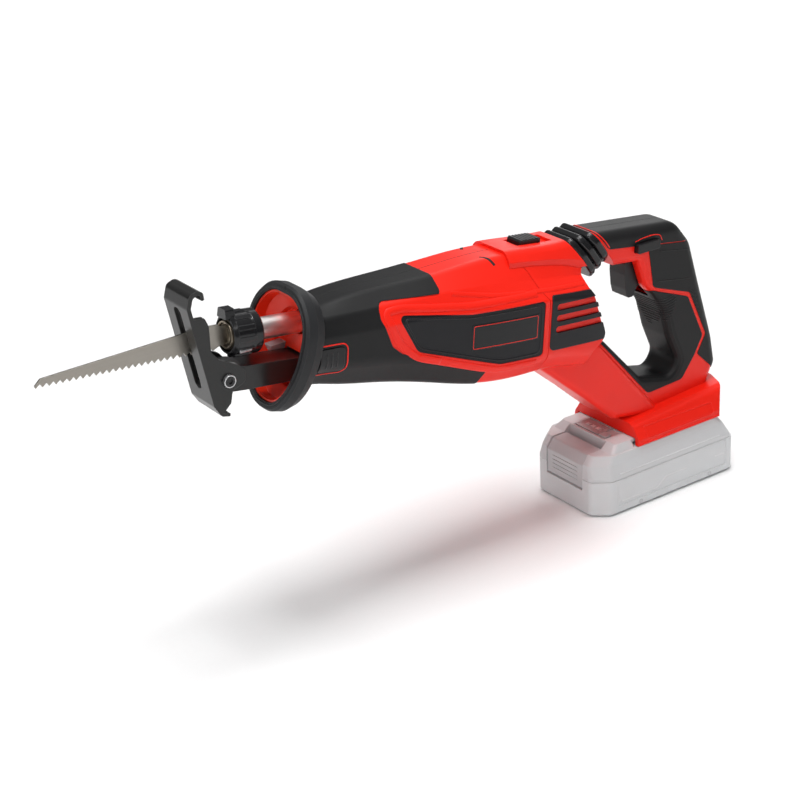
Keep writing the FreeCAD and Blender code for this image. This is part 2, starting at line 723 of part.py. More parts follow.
def make_gearbox():
    """Cast case in two halves around the crank gear, the yoke and the spindle."""
    gear_room = rod(GEAR_RADIUS + 2.6, (CRANK_X, 0, -25), 9.2, (0, 0, 1))
    yoke_room = block(CASE_FRONT + 2, CASE_REAR - 2.5, -20.6, 20.6, -15.8, -2)
    pinion_room = block(CRANK_X - 12, CASE_REAR - 1.5, -12, 12, -33.5, -25)
    outer = rod(GEAR_RADIUS + 4, (CRANK_X, 0, -25), 23, (0, 0, 1))
    outer = outer.fuse(block(CASE_FRONT, CASE_REAR, -22.3, 22.3, -25, -2))
    outer = outer.fuse(block(CRANK_X - 14, CASE_REAR, -14, 14, -36, -25))
    reach = CASE_FRONT - TUNNEL_FRONT
    tunnel = rod(10.4, (TUNNEL_FRONT, 0, 0), reach, (1, 0, 0))
    spindle_hole = rod(8, (-230, 0, 0), 120, (1, 0, 0))
    bush_seat = rod(dim("spindle_radius") + dim("bush_wall"), (TUNNEL_FRONT, 0, 0),
                    dim("bush_length"), (1, 0, 0))
    pinion_room = pinion_room.fuse(block(PINION_X - 3, CASE_REAR - 1.5, -6.4, 6.4, -33, -19))
    shaft_hole = rod(4, (CASE_REAR - 8, 0, MOTOR_Z), 10, (1, 0, 0))
    case = outer.fuse(tunnel)
    for hollow in (gear_room, yoke_room, pinion_room, spindle_hole, bush_seat, shaft_hole):
        case = case.cut(hollow)
    feature("gearbox_case", solid_only(case.common(INSIDE)))
    plate = block(CASE_FRONT, CASE_REAR, -22.3, 22.3, -1.8, 0.6)
    roof = prism("YZ", [(-11.8, 0), (11.8, 0), (11.8, 11.6), (-11.8, 11.6)], CASE_FRONT, CASE_REAR,
                 [0, 0, 3, 3])
    room = block(CASE_FRONT + 2, CASE_REAR - 2.5, -10.6, 10.6, -2, 10)
    cover = plate.fuse(roof).cut(room).cut(spindle_hole).cut(tunnel)
    feature("gearbox_cover", solid_only(cover.common(INSIDE)))


def make_motor_mounts():
    bracket = block(BRACKET[0], BRACKET[1], -21, 21, -46, 12)
    bracket = bracket.cut(rod(dim("spindle_radius") + dim("bush_wall"), (-130, 0, 0), 30, (1, 0, 0)))
    bracket = bracket.cut(rod(dim("bearing_radius"), (-121, 0, MOTOR_Z), 5.5, (1, 0, 0)))
    bracket = bracket.cut(rod(4, (-130, 0, MOTOR_Z), 30, (1, 0, 0)))
    feature("bearing_bracket", bracket.common(INSIDE))
    bell = rod(dim("stator_radius"), (BELL[0], 0, MOTOR_Z), BELL[1] - BELL[0], (1, 0, 0))
    bell = bell.cut(rod(dim("bearing_radius"), (BELL[0], 0, MOTOR_Z), 10, (1, 0, 0)))
    feature("motor_bell", bell)


def make_front_housing(funnel):
    """Red half shells, the rubber sleeve over them and the charcoal inlays in their sides."""
    sleeve_zone = prism("XZ", SLEEVE_SIDE, -90, 90, SLEEVE_RADII)
    front = seam_prism(0)
    start = behind_nose(dim("ring_depth") + 0.2)
    sleeve = SKIN.common(sleeve_zone).common(start).cut(UNDER_SLEEVE)
    lever_zone = prism("XZ", LEVER_SIDE, -80, 0, 3)
    sleeve = sleeve.cut(lever_zone).cut(funnel)
    feature("nose_sleeve", solid_only(sleeve))
    shell = SHELL.cut(sleeve_zone).fuse(UNDER_SLEEVE.common(sleeve_zone)).common(front)
    shell = shell.common(start).cut(CAVITY).cut(funnel).cut(lever_zone)
    bands = side_bands(INLAY_SIDE, INLAY_RADII, 20)
    floor = body_loft(0.9 + dim("inlay_wall"))
    face = body_loft(0.9)
    for side, band in zip(("left", "right"), bands):
        shell = shell.cut(band.cut(floor))
        feature("side_inlay_" + side, solid_only(face.common(band).cut(floor)))
    shell = shell.cut(block(-240, -203, -11.5, 11.5, -44, -18))
    shell = shell.cut(rod(dim("spindle_radius") + dim("bush_wall") + 0.3, (-214, 0, 0), 20, (1, 0, 0)))
    for side, half in zip(("left", "right"), HALVES):
        feature("front_housing_" + side, solid_only(shell.common(half)))


HALVES = (block(-300, 200, -90, 0, -150, 90), block(-300, 200, 0, 90, -150, 90))
LEVER_SIDE = [(-221, -10), (-203, -10), (-203, -27), (-221, -27)]


def make_shoe_release():
    """Push button on the left of the nose that frees the shoe's arm."""
    button = prism("XZ", [(x + dx, z + dz) for (x, z), (dx, dz) in
                          zip(LEVER_SIDE, ((GAP, -GAP), (-GAP, -GAP), (-GAP, GAP), (GAP, GAP)))],
                   -40, -24, 2.6)
    feature("shoe_release", solid_only(button.common(body_loft(-0.9))))


funnel_solid = make_nose()
make_gearbox()
make_motor_mounts()
make_front_housing(funnel_solid)
make_shoe_release()

# ---------------------------------------------------------------- rear housing and handle

# Side view of the D-shaped handle and of its finger opening, both clockwise.
HANDLE_SIDE = [(-8, 29.2), (83, 28.4), (99, 12), (112, -20), (130, -63), (136, -84), (126, -112),
               (62, -118), (12, -62), (4, -20)]
HANDLE_CORNERS = [0, 18, 20, 60, 60, 8, 0, 0, 0, 0]
OPENING_SIDE = [(-14, 3.2), (49, 3.2), (58, -16), (67, -24), (77, -36), (85, -57), (96, -77),
                (91, -88), (62, -84), (21, -47), (4, -45.5), (-14, -45.5)]
OPENING_CORNERS = [0, 2, 10, 8, 14, 20, 7, 9, 8, 20, 3, 0]
COVER_SIDE = [(-7.3, 50), (19.8, 17.2), (44, 16.2), (101, 13.4), (140, 11.5), (140, 50)]
REAR_PANEL_SIDE = [(56.5, 14.9), (101, 12.7), (140, 10.8), (160, -89.5), (133, -89.5), (114, -74.5),
                   (120.5, -60), (100.5, -25.5), (64.5, -16.6)]
GRIP_SIDE = [(50, -27), (65.5, -19.4), (99, -28.4), (117.3, -60.3), (110.8, -75), (100.5, -91.5),
             (68, -96.5), (19, -50), (19, -44)]
STRUT_SIDE = [(-42, -48), (-38, -57.6), (8, -89.5), (36, -110), (84, -114), (66, -97), (17.5, -50.5),
              (8, -44)]
STRUT_HOLLOW = [(-26, -58.5), (10, -84.5), (40, -105), (66, -105), (13, -52)]


def grown(points, reach):
    """Clockwise outline moved outwards by reach along each corner's bisector."""
    moved = []
    for index, (u, v) in enumerate(points):
        last, following = points[index - 1], points[(index + 1) % len(points)]
        first = Vector(u - last[0], v - last[1], 0).normalize()
        second = Vector(following[0] - u, following[1] - v, 0).normalize()
        first_normal = Vector(-first.y, first.x, 0)
        normal = (first_normal + Vector(-second.y, second.x, 0)).normalize()
        scale = reach / max(normal.dot(first_normal), 0.4)
        moved.append((u + normal.x * scale, v + normal.y * scale))
    return moved


def grown_radii(radii, reach):
    """Corner radii of an outline after it has grown; sharp corners stay sharp."""
    return [max(radius + reach, 0.5) if radius else 0 for radius in radii]


def rounded_slab(points, radii, half, rounding, reach=0):
    """Slab |y| <= half with its outline grown by reach and both rims rounded."""
    slab = prism("XZ", grown(points, reach), -half, half, grown_radii(radii, reach))
    rims = [edge for edge in slab.Edges
            if abs(abs(edge.BoundBox.YMin) - half) < 1e-3 and edge.BoundBox.YLength < 1e-3]
    return slab.makeFillet(rounding, rims)


def flared_hole(points, radii, half, rounding, reach):
    """Hole through |y| <= half whose mouths open outwards in a quarter round."""
    angles = [0, 22.5, 45, 67.5, 90]
    levels = [(half - rounding + rounding * math.sin(math.radians(angle)),
               rounding * (1 - math.cos(math.radians(angle)))) for angle in angles]
    levels.append((half + 1, rounding))
    stack = [(-level, flare) for level, flare in reversed(levels)] + levels
    wires = [outline_wire("XZ", grown(points, reach + flare), grown_radii(radii, reach + flare), level)
             for level, flare in stack]
    return loft(wires, True)


def handle_solid(inset):
    """D-shaped handle with its finger opening, every surface moved inwards by inset."""
    half = dim("handle_width") / 2 - inset
    rounding = dim("handle_round") - 0.7 * inset
    outer = rounded_slab(HANDLE_SIDE, HANDLE_CORNERS, half, rounding, -inset)
    hole = flared_hole(OPENING_SIDE, OPENING_CORNERS, half, 0.75 * rounding, inset)
    behind = block(BELLOWS_HALF + inset, 400, -90, 90, -200, 200)
    behind.Placement = BELLOWS
    lower = block(-50, 200, -90, 90, -200, -12)
    return solid_only(outer.cut(hole).common(behind.fuse(lower)))


BUTTON_SIDE = [(44, 17.4), (64, 19.4), (64, 13.2), (44, 11.2)]
TRIGGER_SIDE = [(44, 2.4), (44.5, -7), (46.5, -18), (49, -24.5), (54, -24), (57, -17), (66, -13),
                (66, 2.4)]
TRIGGER_RADII = [2, 8, 8, 2, 2, 3, 1, 1]


def rail_room():
    """Space in the foot for the battery's rails and, above them, for the contacts."""
    rails = block(-30, 59, -31.2, 31.2, 40, 50.7)
    return rails.fuse(block(-22, 56, -26, 26, 50, 56.5))


def base_solid():
    """Foot that carries the battery rails, in the row frame: sloped top, rounded rear."""
    front = mirrored([(24, 60.5), (29, 58.8), (34.8, 50), (35.5, 45.4)])
    rear = mirrored([(24, 66.5), (29, 64.8), (34.8, 51), (35.5, 45.4)])
    radii = [3, 4, 4, 0.5, 0.5, 4, 4, 3]
    body = loft([outline_wire("YZ", front, radii, -26.5), outline_wire("YZ", rear, radii, 70)], True)
    plan = [(-26.5, -40), (-26.5, 40), (47, 40), (61, 26), (67, 10), (67, -10), (61, -26), (47, -40)]
    body = body.common(prism("XY", plan, 0, 100, [0, 0, 8, 14, 8, 8, 14, 8]))
    lip = block(-22, 54, -31.6, -25.7, 45.4, 47.4)
    return body.cut(rail_room()).fuse([lip, mirror_y(lip)]).removeSplitter()


def to_tool(shape):
    """Shape of the row frame expressed in the tool frame."""
    moved = shape.copy()
    moved.Placement = TOOL.inverse().multiply(moved.Placement)
    return moved


def make_rear_housing():
    """Red half shells behind the seam: motor end, strut, handle core and battery foot."""
    end_wall = 2.6
    kept = below_slant(-BELLOWS_HALF).common(prism("XZ", REAR_END, -90, 90, REAR_END_CORNERS))
    room = below_slant(-BELLOWS_HALF - end_wall)
    room = room.common(prism("XZ", grown(REAR_END, -end_wall), -90, 90,
                             grown_radii(REAR_END_CORNERS, -end_wall)))
    outside = handle_solid(0)
    skins_out = handle_solid(dim("skin_wall"))
    hollow = handle_solid(dim("skin_wall") + dim("core_wall"))
    zones = {"cover": prism("XZ", COVER_SIDE, -90, 90, [0, 5, 0, 0, 0, 0]),
             "rear_panel": prism("XZ", REAR_PANEL_SIDE, -90, 90, [2, 0, 0, 0, 0, 2, 4, 5, 5]),
             "grip": prism("XZ", GRIP_SIDE, -90, 90, [0, 4, 5, 4, 4, 5, 6, 0, 0])}
    strut = rounded_slab(STRUT_SIDE, [0] * 8, 20, 5)
    foot = to_tool(base_solid())
    button_hole = prism("XZ", grown(BUTTON_SIDE, GAP), -30, 30, 1.4)
    trigger_half = dim("trigger_width") / 2 + GAP
    trigger_hole = block(40, 75, -trigger_half, trigger_half, -25.8, 2.9)
    for name, zone in zones.items():
        skin = outside.common(zone).cut(skins_out).cut(strut).cut(foot)
        feature(name + "_skin", solid_only(skin.cut(button_hole).cut(trigger_hole)))
    covered = zones["cover"].fuse([zones["rear_panel"], zones["grip"]])
    core = handle_solid(0.4).cut(covered).fuse(skins_out.common(covered))
    shell = SHELL.cut(seam_prism(dim("seam_gap"))).common(kept)
    room_below = to_tool(rail_room())
    red = shell.fuse([strut.cut(room_below), core.cut(room_below), foot])
    red = red.cut(CAVITY.common(room)).cut(hollow.cut(block(-50, 22, -90, 90, -90, -20)).cut(foot))
    red = red.cut(prism("XZ", STRUT_HOLLOW, -16, 16, 3).cut(foot))
    red = red.cut(button_hole).cut(trigger_hole)
    bands = side_bands(VENT_SIDE, [3, 0, 0, 4], 20)
    floor = body_loft(0.5 + dim("inlay_wall"))
    slots = [prism("XZ", [(-40.5, level + VENT_HALF), (30, level + VENT_HALF), (30, level - VENT_HALF),
                          (-40.5, level - VENT_HALF)], -60, 60, [2.2, 0, 0, 2.2])
             for level in VENT_SLOTS]
    filling = body_loft(1.8)
    filled = floor.fuse([filling.common(slot) for slot in slots])
    for side, band in zip(("left", "right"), bands):
        red = red.cut(band.cut(filled))
        panel = SKIN.common(band).common(kept).cut(floor)
        feature("vent_panel_" + side, solid_only(panel.cut(slots)))
    for side, half in zip(("left", "right"), HALVES):
        feature("rear_housing_" + side, solid_only(red.common(half)))


def make_bellows():
    """Three slanted rubber folds between the motor housing and the handle."""
    pitch = dim("bellows_thickness") + 1.2
    for index in range(3):
        middle = (index - 1) * pitch
        half = [(15, 16.3 - 0.6 * middle), (19.5, 6), (19.5, -8), (14, -15.5)]
        radii = [7, 8, 6, 6]
        rim = outline_wire("YZ", mirrored(half), radii + radii[::-1],
                           middle - dim("bellows_thickness") / 2)
        fold = Part.Face(rim).extrude(Vector(dim("bellows_thickness"), 0, 0))
        rims = [edge for edge in fold.Edges if edge.BoundBox.XLength < 1e-3]
        fold = fold.makeFillet(1.8, rims).cut(rod(8, (-20, 0, 0), 40, (1, 0, 0)))
        feature("bellows_%d" % (index + 1), fold, TOOL.multiply(BELLOWS))


def make_controls():
    """Trigger, lock button, slide switch with its raised cover and the switch inside."""
    trigger = new_body("trigger")
    side = sketch_on(trigger, "XZ_Plane")
    add_outline(side, TRIGGER_SIDE, TRIGGER_RADII)
    pad(trigger, side, "dims.trigger_width", middle=True)
    feature("trigger_switch", block(73, 92, -9, 9, -13, 6))
    button = new_body("lock_button")
    side = sketch_on(button, "XZ_Plane")
    add_outline(side, BUTTON_SIDE, 1.2)
    pad(button, side, "dims.handle_width + 7", middle=True)
    zone = block(-70, 10, -21, 21, 10, 60).common(below_slant(-BELLOWS_HALF))
    raised = body_loft(-1.6).common(zone).cut(body_loft(0.45))
    well = block(-54, -24, -7.6, 7.6, 10, 60)
    feature("top_cover", solid_only(raised.cut(well)))
    slider = new_body("mode_switch")
    top = sketch_on(slider, "XZ_Plane")
    ridges = [(-50.5, 26.6), (-50.5, 29.4)]
    for index in range(6):
        x = -49.5 + 2.6 * index
        ridges += [(x, 30.6), (x + 1.2, 30.6), (x + 1.5, 29.6), (x + 2.3, 29.6)]
    ridges += [(-33.5, 30.4), (-33.5, 26.6)]
    add_outline(top, ridges)
    pad(slider, top, "14", middle=True)


make_rear_housing()
make_bellows()
make_controls()

# ---------------------------------------------------------------- battery

HALF_BATTERY = dim("battery_width") / 2
BATTERY_END = dim("battery_length") / 2
DECK = 45.0


def battery_plan(front, rear, half, cut):
    """Plan outline of the battery: chamfered front corners, rounded rear ones."""
    return [(front, -half + cut), (front, half - cut), (front + 1.2 * cut, half), (rear, half),
            (rear, -half), (front + 1.2 * cut, -half)]


def battery_wire(front, rear, half, cut, level):
    return outline_wire("XY", battery_plan(front, rear, half, cut), [5, 5, 6, 7, 7, 6], level)


def battery_stack(inset):
    """Upper shell's outside moved inwards by inset: upright band, shoulder, deck."""
    lean = inset * 0.9
    return loft([battery_wire(-BATTERY_END + inset, 64 - inset, HALF_BATTERY - inset, 10,
                              dim("tray_height")),
                 battery_wire(-BATTERY_END + inset, 63 - inset, HALF_BATTERY - inset, 10, 30 - lean),
                 battery_wire(-BATTERY_END + 0.8 + inset, 58.5 - inset, 35.4 - inset, 10, 38.5 - lean),
                 battery_wire(-61 + inset, 52.5 - inset, 34.4 - inset, 10, DECK - inset)], True)


LATCH_POCKET = [(-80, 18), (-60, 18), (-57, 36), (-44, 39), (-44, 70), (-80, 70)]
LATCH_SIDE = [(-65.8, 19), (-62.6, 19), (-59.6, 38), (-46.8, 41), (-46.8, 44.2), (-60, 44.2), (-65.6, 37)]


def make_battery():
    wall = dim("battery_wall")
    top = dim("tray_height") - 0.3
    plan = battery_plan(-BATTERY_END, BATTERY_END - 1, HALF_BATTERY, 10)
    tray = prism("XY", plan, 0, top, [5, 5, 6, 7, 7, 6])
    rims = [edge for edge in tray.Edges if edge.BoundBox.ZMax < 1e-3]
    inner = battery_plan(-BATTERY_END + wall, BATTERY_END - 1 - wall, HALF_BATTERY - wall, 9.6)
    tray = tray.makeChamfer(2.0, rims).cut(prism("XY", inner, wall, 40, [4, 4, 5, 6, 6, 5]))
    pocket_half = dim("latch_width") / 2 + 0.5
    pocket_zone = prism("XZ", LATCH_POCKET, -pocket_half, pocket_half)
    guard = prism("XZ", [(-90, 16), (-58, 16), (-55, 34), (-42, 37), (-42, 70), (-90, 70)],
                  -pocket_half - 2, pocket_half + 2)
    tray = tray.fuse(guard.common(block(-65, -40, -90, 90, 3, top))
                     .common(prism("XY", inner, 0, 90, [4, 4, 5, 6, 6, 5]))).cut(pocket_zone)
    recess = block(-48, 56, 37.4, 60, 6.5, 26.4)
    tray = tray.cut([recess, mirror_y(recess)])
    feature("battery_tray", solid_only(tray), ROW)
    room = battery_stack(wall).cut(guard)
    upper = battery_stack(0).cut(room)
    neck = block(-43.5, 56, -25.2, 25.2, DECK - 0.5, 47.9)
    head = prism("XY", [(-43.5, -29.4), (-43.5, 29.4), (56, 29.4), (56, -29.4)], 47.8, 50.2, 2)
    platform = loft([outline_wire("XY", box, 3, level) for box, level in (
        ([(-50, -33), (-50, 33), (-27.5, 33), (-27.5, -33)], DECK - 0.5),
        ([(-43.5, -29.4), (-43.5, 29.4), (-27.5, 29.4), (-27.5, -29.4)], 50.2))], True)
    upper = upper.fuse([neck, head, platform]).cut(pocket_zone)
    upper = upper.cut(block(-42.6, -27.4, -17, 17, 49.4, 52))
    upper = upper.cut(block(-41.6, -35.0, -16, -8.4, 46.0, 52))
    feature("battery_shell", solid_only(upper), ROW)
    latch = new_body("battery_latch", ROW)
    side = sketch_on(latch, "XZ_Plane")
    add_outline(side, LATCH_SIDE, [0.8, 0.8, 1, 0.8, 1, 3, 2])
    pad(latch, side, "dims.latch_width", middle=True)
    feature("gauge_window", block(-41.4, -28.4, -7.4, 16.4, 49.45, 50.4), ROW)
    feature("gauge_button", block(-41.2, -35.4, -15.6, -8.8, 47.2, 50.9), ROW)


def make_cells():
    """Ten round cells across the pack: two layers of five, with a board above them."""
    for label, level in (("cells_lower", 11.4), ("cells_upper", 29.7)):
        cells = [rod(dim("cell_radius"), (-31.5 + column * dim("cell_pitch"), -dim("cell_length") / 2,
                                          level), dim("cell_length"), (0, 1, 0))
                 for column in range(5)]
        feature(label, Part.makeCompound(cells), ROW)
    feature("battery_board", block(-20, 44, -22, 22, 39.4, 41), ROW)


def make_electrics():
    """Speed controller behind the motor and the contact block above the battery."""
    feature("control_board", block(-8, -4.5, -18, 18, -42, -20))
    feature("terminal_block", block(34, 50, -14, 14, 51.2, 56.2), ROW)


make_battery()
make_cells()
make_electrics()

# ---------------------------------------------------------------- check and export


def check_and_export():
    doc.recompute()
    for obj in doc.Objects:
        if {"Invalid", "Error"} & set(obj.State):
            raise RuntimeError("%s: state %s" % (obj.Label, obj.State))
    for label, obj in nodes.items():
        if obj.Shape.isNull() or not obj.Shape.isValid():
            raise RuntimeError(label + ": shape is null or not valid")
    os.makedirs("parts", exist_ok=True)
    for label, obj in nodes.items():
        obj.Shape.exportStep("parts/%s.step" % label)
        print("%-22s solids %d  volume %10.1f" % (label, len(obj.Shape.Solids), obj.Shape.Volume))
    print(len(nodes), "sub-parts")


check_and_export()
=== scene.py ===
import json
import math

import bmesh
import bpy
from mathutils import Matrix, Vector
from mathutils.bvhtree import BVHTree


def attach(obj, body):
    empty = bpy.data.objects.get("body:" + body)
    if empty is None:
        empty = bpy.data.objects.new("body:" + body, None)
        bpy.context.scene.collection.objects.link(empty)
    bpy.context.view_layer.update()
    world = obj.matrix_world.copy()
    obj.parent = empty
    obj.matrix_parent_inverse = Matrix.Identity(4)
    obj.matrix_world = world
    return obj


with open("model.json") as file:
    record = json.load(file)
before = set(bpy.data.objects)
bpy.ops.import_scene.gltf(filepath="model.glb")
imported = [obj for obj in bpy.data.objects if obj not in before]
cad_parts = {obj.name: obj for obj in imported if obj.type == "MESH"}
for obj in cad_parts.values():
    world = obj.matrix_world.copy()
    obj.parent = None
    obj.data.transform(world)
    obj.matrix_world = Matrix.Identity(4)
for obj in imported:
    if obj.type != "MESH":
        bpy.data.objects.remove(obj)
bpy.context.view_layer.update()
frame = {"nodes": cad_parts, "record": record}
MM = 0.001

# ---------------------------------------------------------------- tool frame

TILT = math.radians(6.0)
SPINDLE_SETBACK = -59.5
SPINDLE_HEIGHT = 176.9
COS_TILT = math.cos(TILT)
SIN_TILT = math.sin(TILT)
TOOL_X = Vector((COS_TILT, 0, -SIN_TILT))
TOOL_Z = Vector((SIN_TILT, 0, COS_TILT))
SIDE_Y = Vector((0, 1, 0))


def tool(x, y, z):
    """Point of the tilted tool frame, in millimetres, as a row-frame point in metres."""
    return Vector((SPINDLE_SETBACK + x * COS_TILT + z * SIN_TILT, y,
                   SPINDLE_HEIGHT - x * SIN_TILT + z * COS_TILT)) * MM


def flat(x, y, z):
    """Point of the row frame, in millimetres, in metres."""
    return Vector((x, y, z)) * MM


# ---------------------------------------------------------------- materials

class Nodes:
    """One material and short calls that add its nodes."""

    def __init__(self, name):
        self.material = bpy.data.materials.new(name)
        self.material.use_nodes = True
        self.tree = self.material.node_tree
        self.shader = self.tree.nodes["Principled BSDF"]
        self.place = self.add("ShaderNodeTexCoord").outputs["Object"]

    def add(self, kind, **settings):
        node = self.tree.nodes.new(kind)
        for key, value in settings.items():
            setattr(node, key, value)
        return node

    def link(self, source, target):
        self.tree.links.new(source, target)

    def mapped(self, scale):
        """Object coordinates turned to the tool's long axis and multiplied by scale."""
        node = self.add("ShaderNodeMapping")
        node.inputs["Scale"].default_value = scale
        node.inputs["Rotation"].default_value = (0, TILT, 0)
        self.link(self.place, node.inputs["Vector"])
        return node.outputs["Vector"]

    def noise(self, scale, detail=2.0, vector=None, rough=0.5):
        node = self.add("ShaderNodeTexNoise")
        node.inputs["Scale"].default_value = scale
        node.inputs["Detail"].default_value = detail
        node.inputs["Roughness"].default_value = rough
        self.link(vector or self.place, node.inputs["Vector"])
        return node.outputs["Fac"]

    def span(self, value, low, high, start=0.0, end=1.0):
        """Value from start..end spread over low..high."""
        node = self.add("ShaderNodeMapRange")
        node.inputs["From Min"].default_value = start
        node.inputs["From Max"].default_value = end
        node.inputs["To Min"].default_value = low
        node.inputs["To Max"].default_value = high
        self.link(value, node.inputs["Value"])
        return node.outputs["Result"]

    def math(self, kind, first, second):
        node = self.add("ShaderNodeMath", operation=kind)
        for index, value in enumerate((first, second)):
            if isinstance(value, (int, float)):
                node.inputs[index].default_value = value
            else:
                self.link(value, node.inputs[index])
        return node.outputs["Value"]

    def mix(self, factor, first, second):
        """Colour between first and second; either is an RGB triple or a socket."""
        node = self.add("ShaderNodeMix", data_type="RGBA")
        self.link(factor, node.inputs["Factor"])
        for socket, value in ((node.inputs[6], first), (node.inputs[7], second)):
            if isinstance(value, tuple):
                socket.default_value = (*value, 1)
            else:
                self.link(value, socket)
        return node.outputs[2]

    def edge_mask(self, radius, low=0.93, high=0.999):
        """Mask that is one at edges within radius and zero on flat ground, and the rounded normal.

        low and high are the cosines between the true and the rounded normal where it is one and zero.
        """
        bevel = self.add("ShaderNodeBevel", samples=4)
        bevel.inputs["Radius"].default_value = radius
        geometry = self.add("ShaderNodeNewGeometry")
        product = self.add("ShaderNodeVectorMath", operation="DOT_PRODUCT")
        self.link(bevel.outputs["Normal"], product.inputs[0])
        self.link(geometry.outputs["Normal"], product.inputs[1])
        return self.span(product.outputs["Value"], 1, 0, low, high), bevel.outputs["Normal"]

    def bump(self, height, strength, distance, normal=None):
        node = self.add("ShaderNodeBump")
        node.inputs["Strength"].default_value = strength
        node.inputs["Distance"].default_value = distance
        self.link(height, node.inputs["Height"])
        if normal is not None:
            self.link(normal, node.inputs["Normal"])
        return node.outputs["Normal"]

    def finish(self, colour, roughness, normal, metallic=0.0, **sockets):
        self.link(colour, self.shader.inputs["Base Color"])
        self.link(roughness, self.shader.inputs["Roughness"])
        self.link(normal, self.shader.inputs["Normal"])
        self.shader.inputs["Metallic"].default_value = metallic
        for key, value in sockets.items():
            self.shader.inputs[key.replace("_", " ")].default_value = value
        return self.material


PLASTIC_EDGE = 0.0006
PLASTIC_RELIEF = 0.00006
# How strongly edges are lightened: partly wear, partly painted highlight.
EDGE_WEAR_AND_HIGHLIGHT = 0.8
METAL_EDGE = 0.0004
METAL_RELIEF = 0.00005
METAL_SPREAD = 0.12


def moulded(name, colour, rough, grain=0.25, edge=0.35, spread=0.08, grain_scale=2600, **sockets):
    """Moulded plastic or rubber: mould grain, broad tone changes, lighter edges that are partly wear and
    partly painted highlight.
    """
    nodes = Nodes(name)
    light = tuple(min(1.0, c * (1 + spread) + 0.004) for c in colour)
    dark = tuple(c * (1 - spread) for c in colour)
    worn_and_highlit = tuple(min(1.0, c * (1 + edge) + 0.03 * edge) for c in colour)
    broad = nodes.noise(28, 3)
    fine = nodes.noise(grain_scale, 2)
    mask, rounded = nodes.edge_mask(PLASTIC_EDGE)
    tone = nodes.mix(broad, dark, light)
    # Edges lightened by the bevel mask: partly wear, partly painted highlight.
    tone = nodes.mix(nodes.math("MULTIPLY", mask, EDGE_WEAR_AND_HIGHLIGHT), tone, worn_and_highlit)
    scuff = nodes.noise(420, 4)
    roughness = nodes.math("ADD", nodes.span(broad, rough - 0.04, rough + 0.04),
                           nodes.span(scuff, -0.03, 0.05))
    relief = nodes.math("ADD", fine, nodes.math("MULTIPLY", scuff, 0.4))
    normal = nodes.bump(relief, grain, PLASTIC_RELIEF, rounded)
    return nodes.finish(tone, roughness, normal, **sockets)


def metal(name, colour, rough, stretch=(60, 900, 900), depth=0.25, edge=0.5):
    """Metal with streaks drawn out along the tool's long axis, and brighter edges that are partly wear and
    partly painted highlight.
    """
    nodes = Nodes(name)
    streaks = nodes.noise(1.0, 4, nodes.mapped(stretch), 0.6)
    broad = nodes.noise(45, 3)
    mask, rounded = nodes.edge_mask(METAL_EDGE)
    light = tuple(min(1.0, c * (1 + METAL_SPREAD)) for c in colour)
    dark = tuple(c * (1 - METAL_SPREAD) for c in colour)
    bright = tuple(min(1.0, c * (1 + edge) + 0.02) for c in colour)
    tone = nodes.mix(nodes.math("MULTIPLY", nodes.math("ADD", streaks, broad), 0.5), dark, light)
    # Edges brightened by the bevel mask: partly wear, partly painted highlight.
    tone = nodes.mix(mask, tone, bright)
    roughness = nodes.math("ADD", nodes.span(streaks, rough - 0.06, rough + 0.08),
                           nodes.span(broad, -0.04, 0.04))
    normal = nodes.bump(streaks, depth, METAL_RELIEF, rounded)
    return nodes.finish(tone, roughness, normal, metallic=1.0)


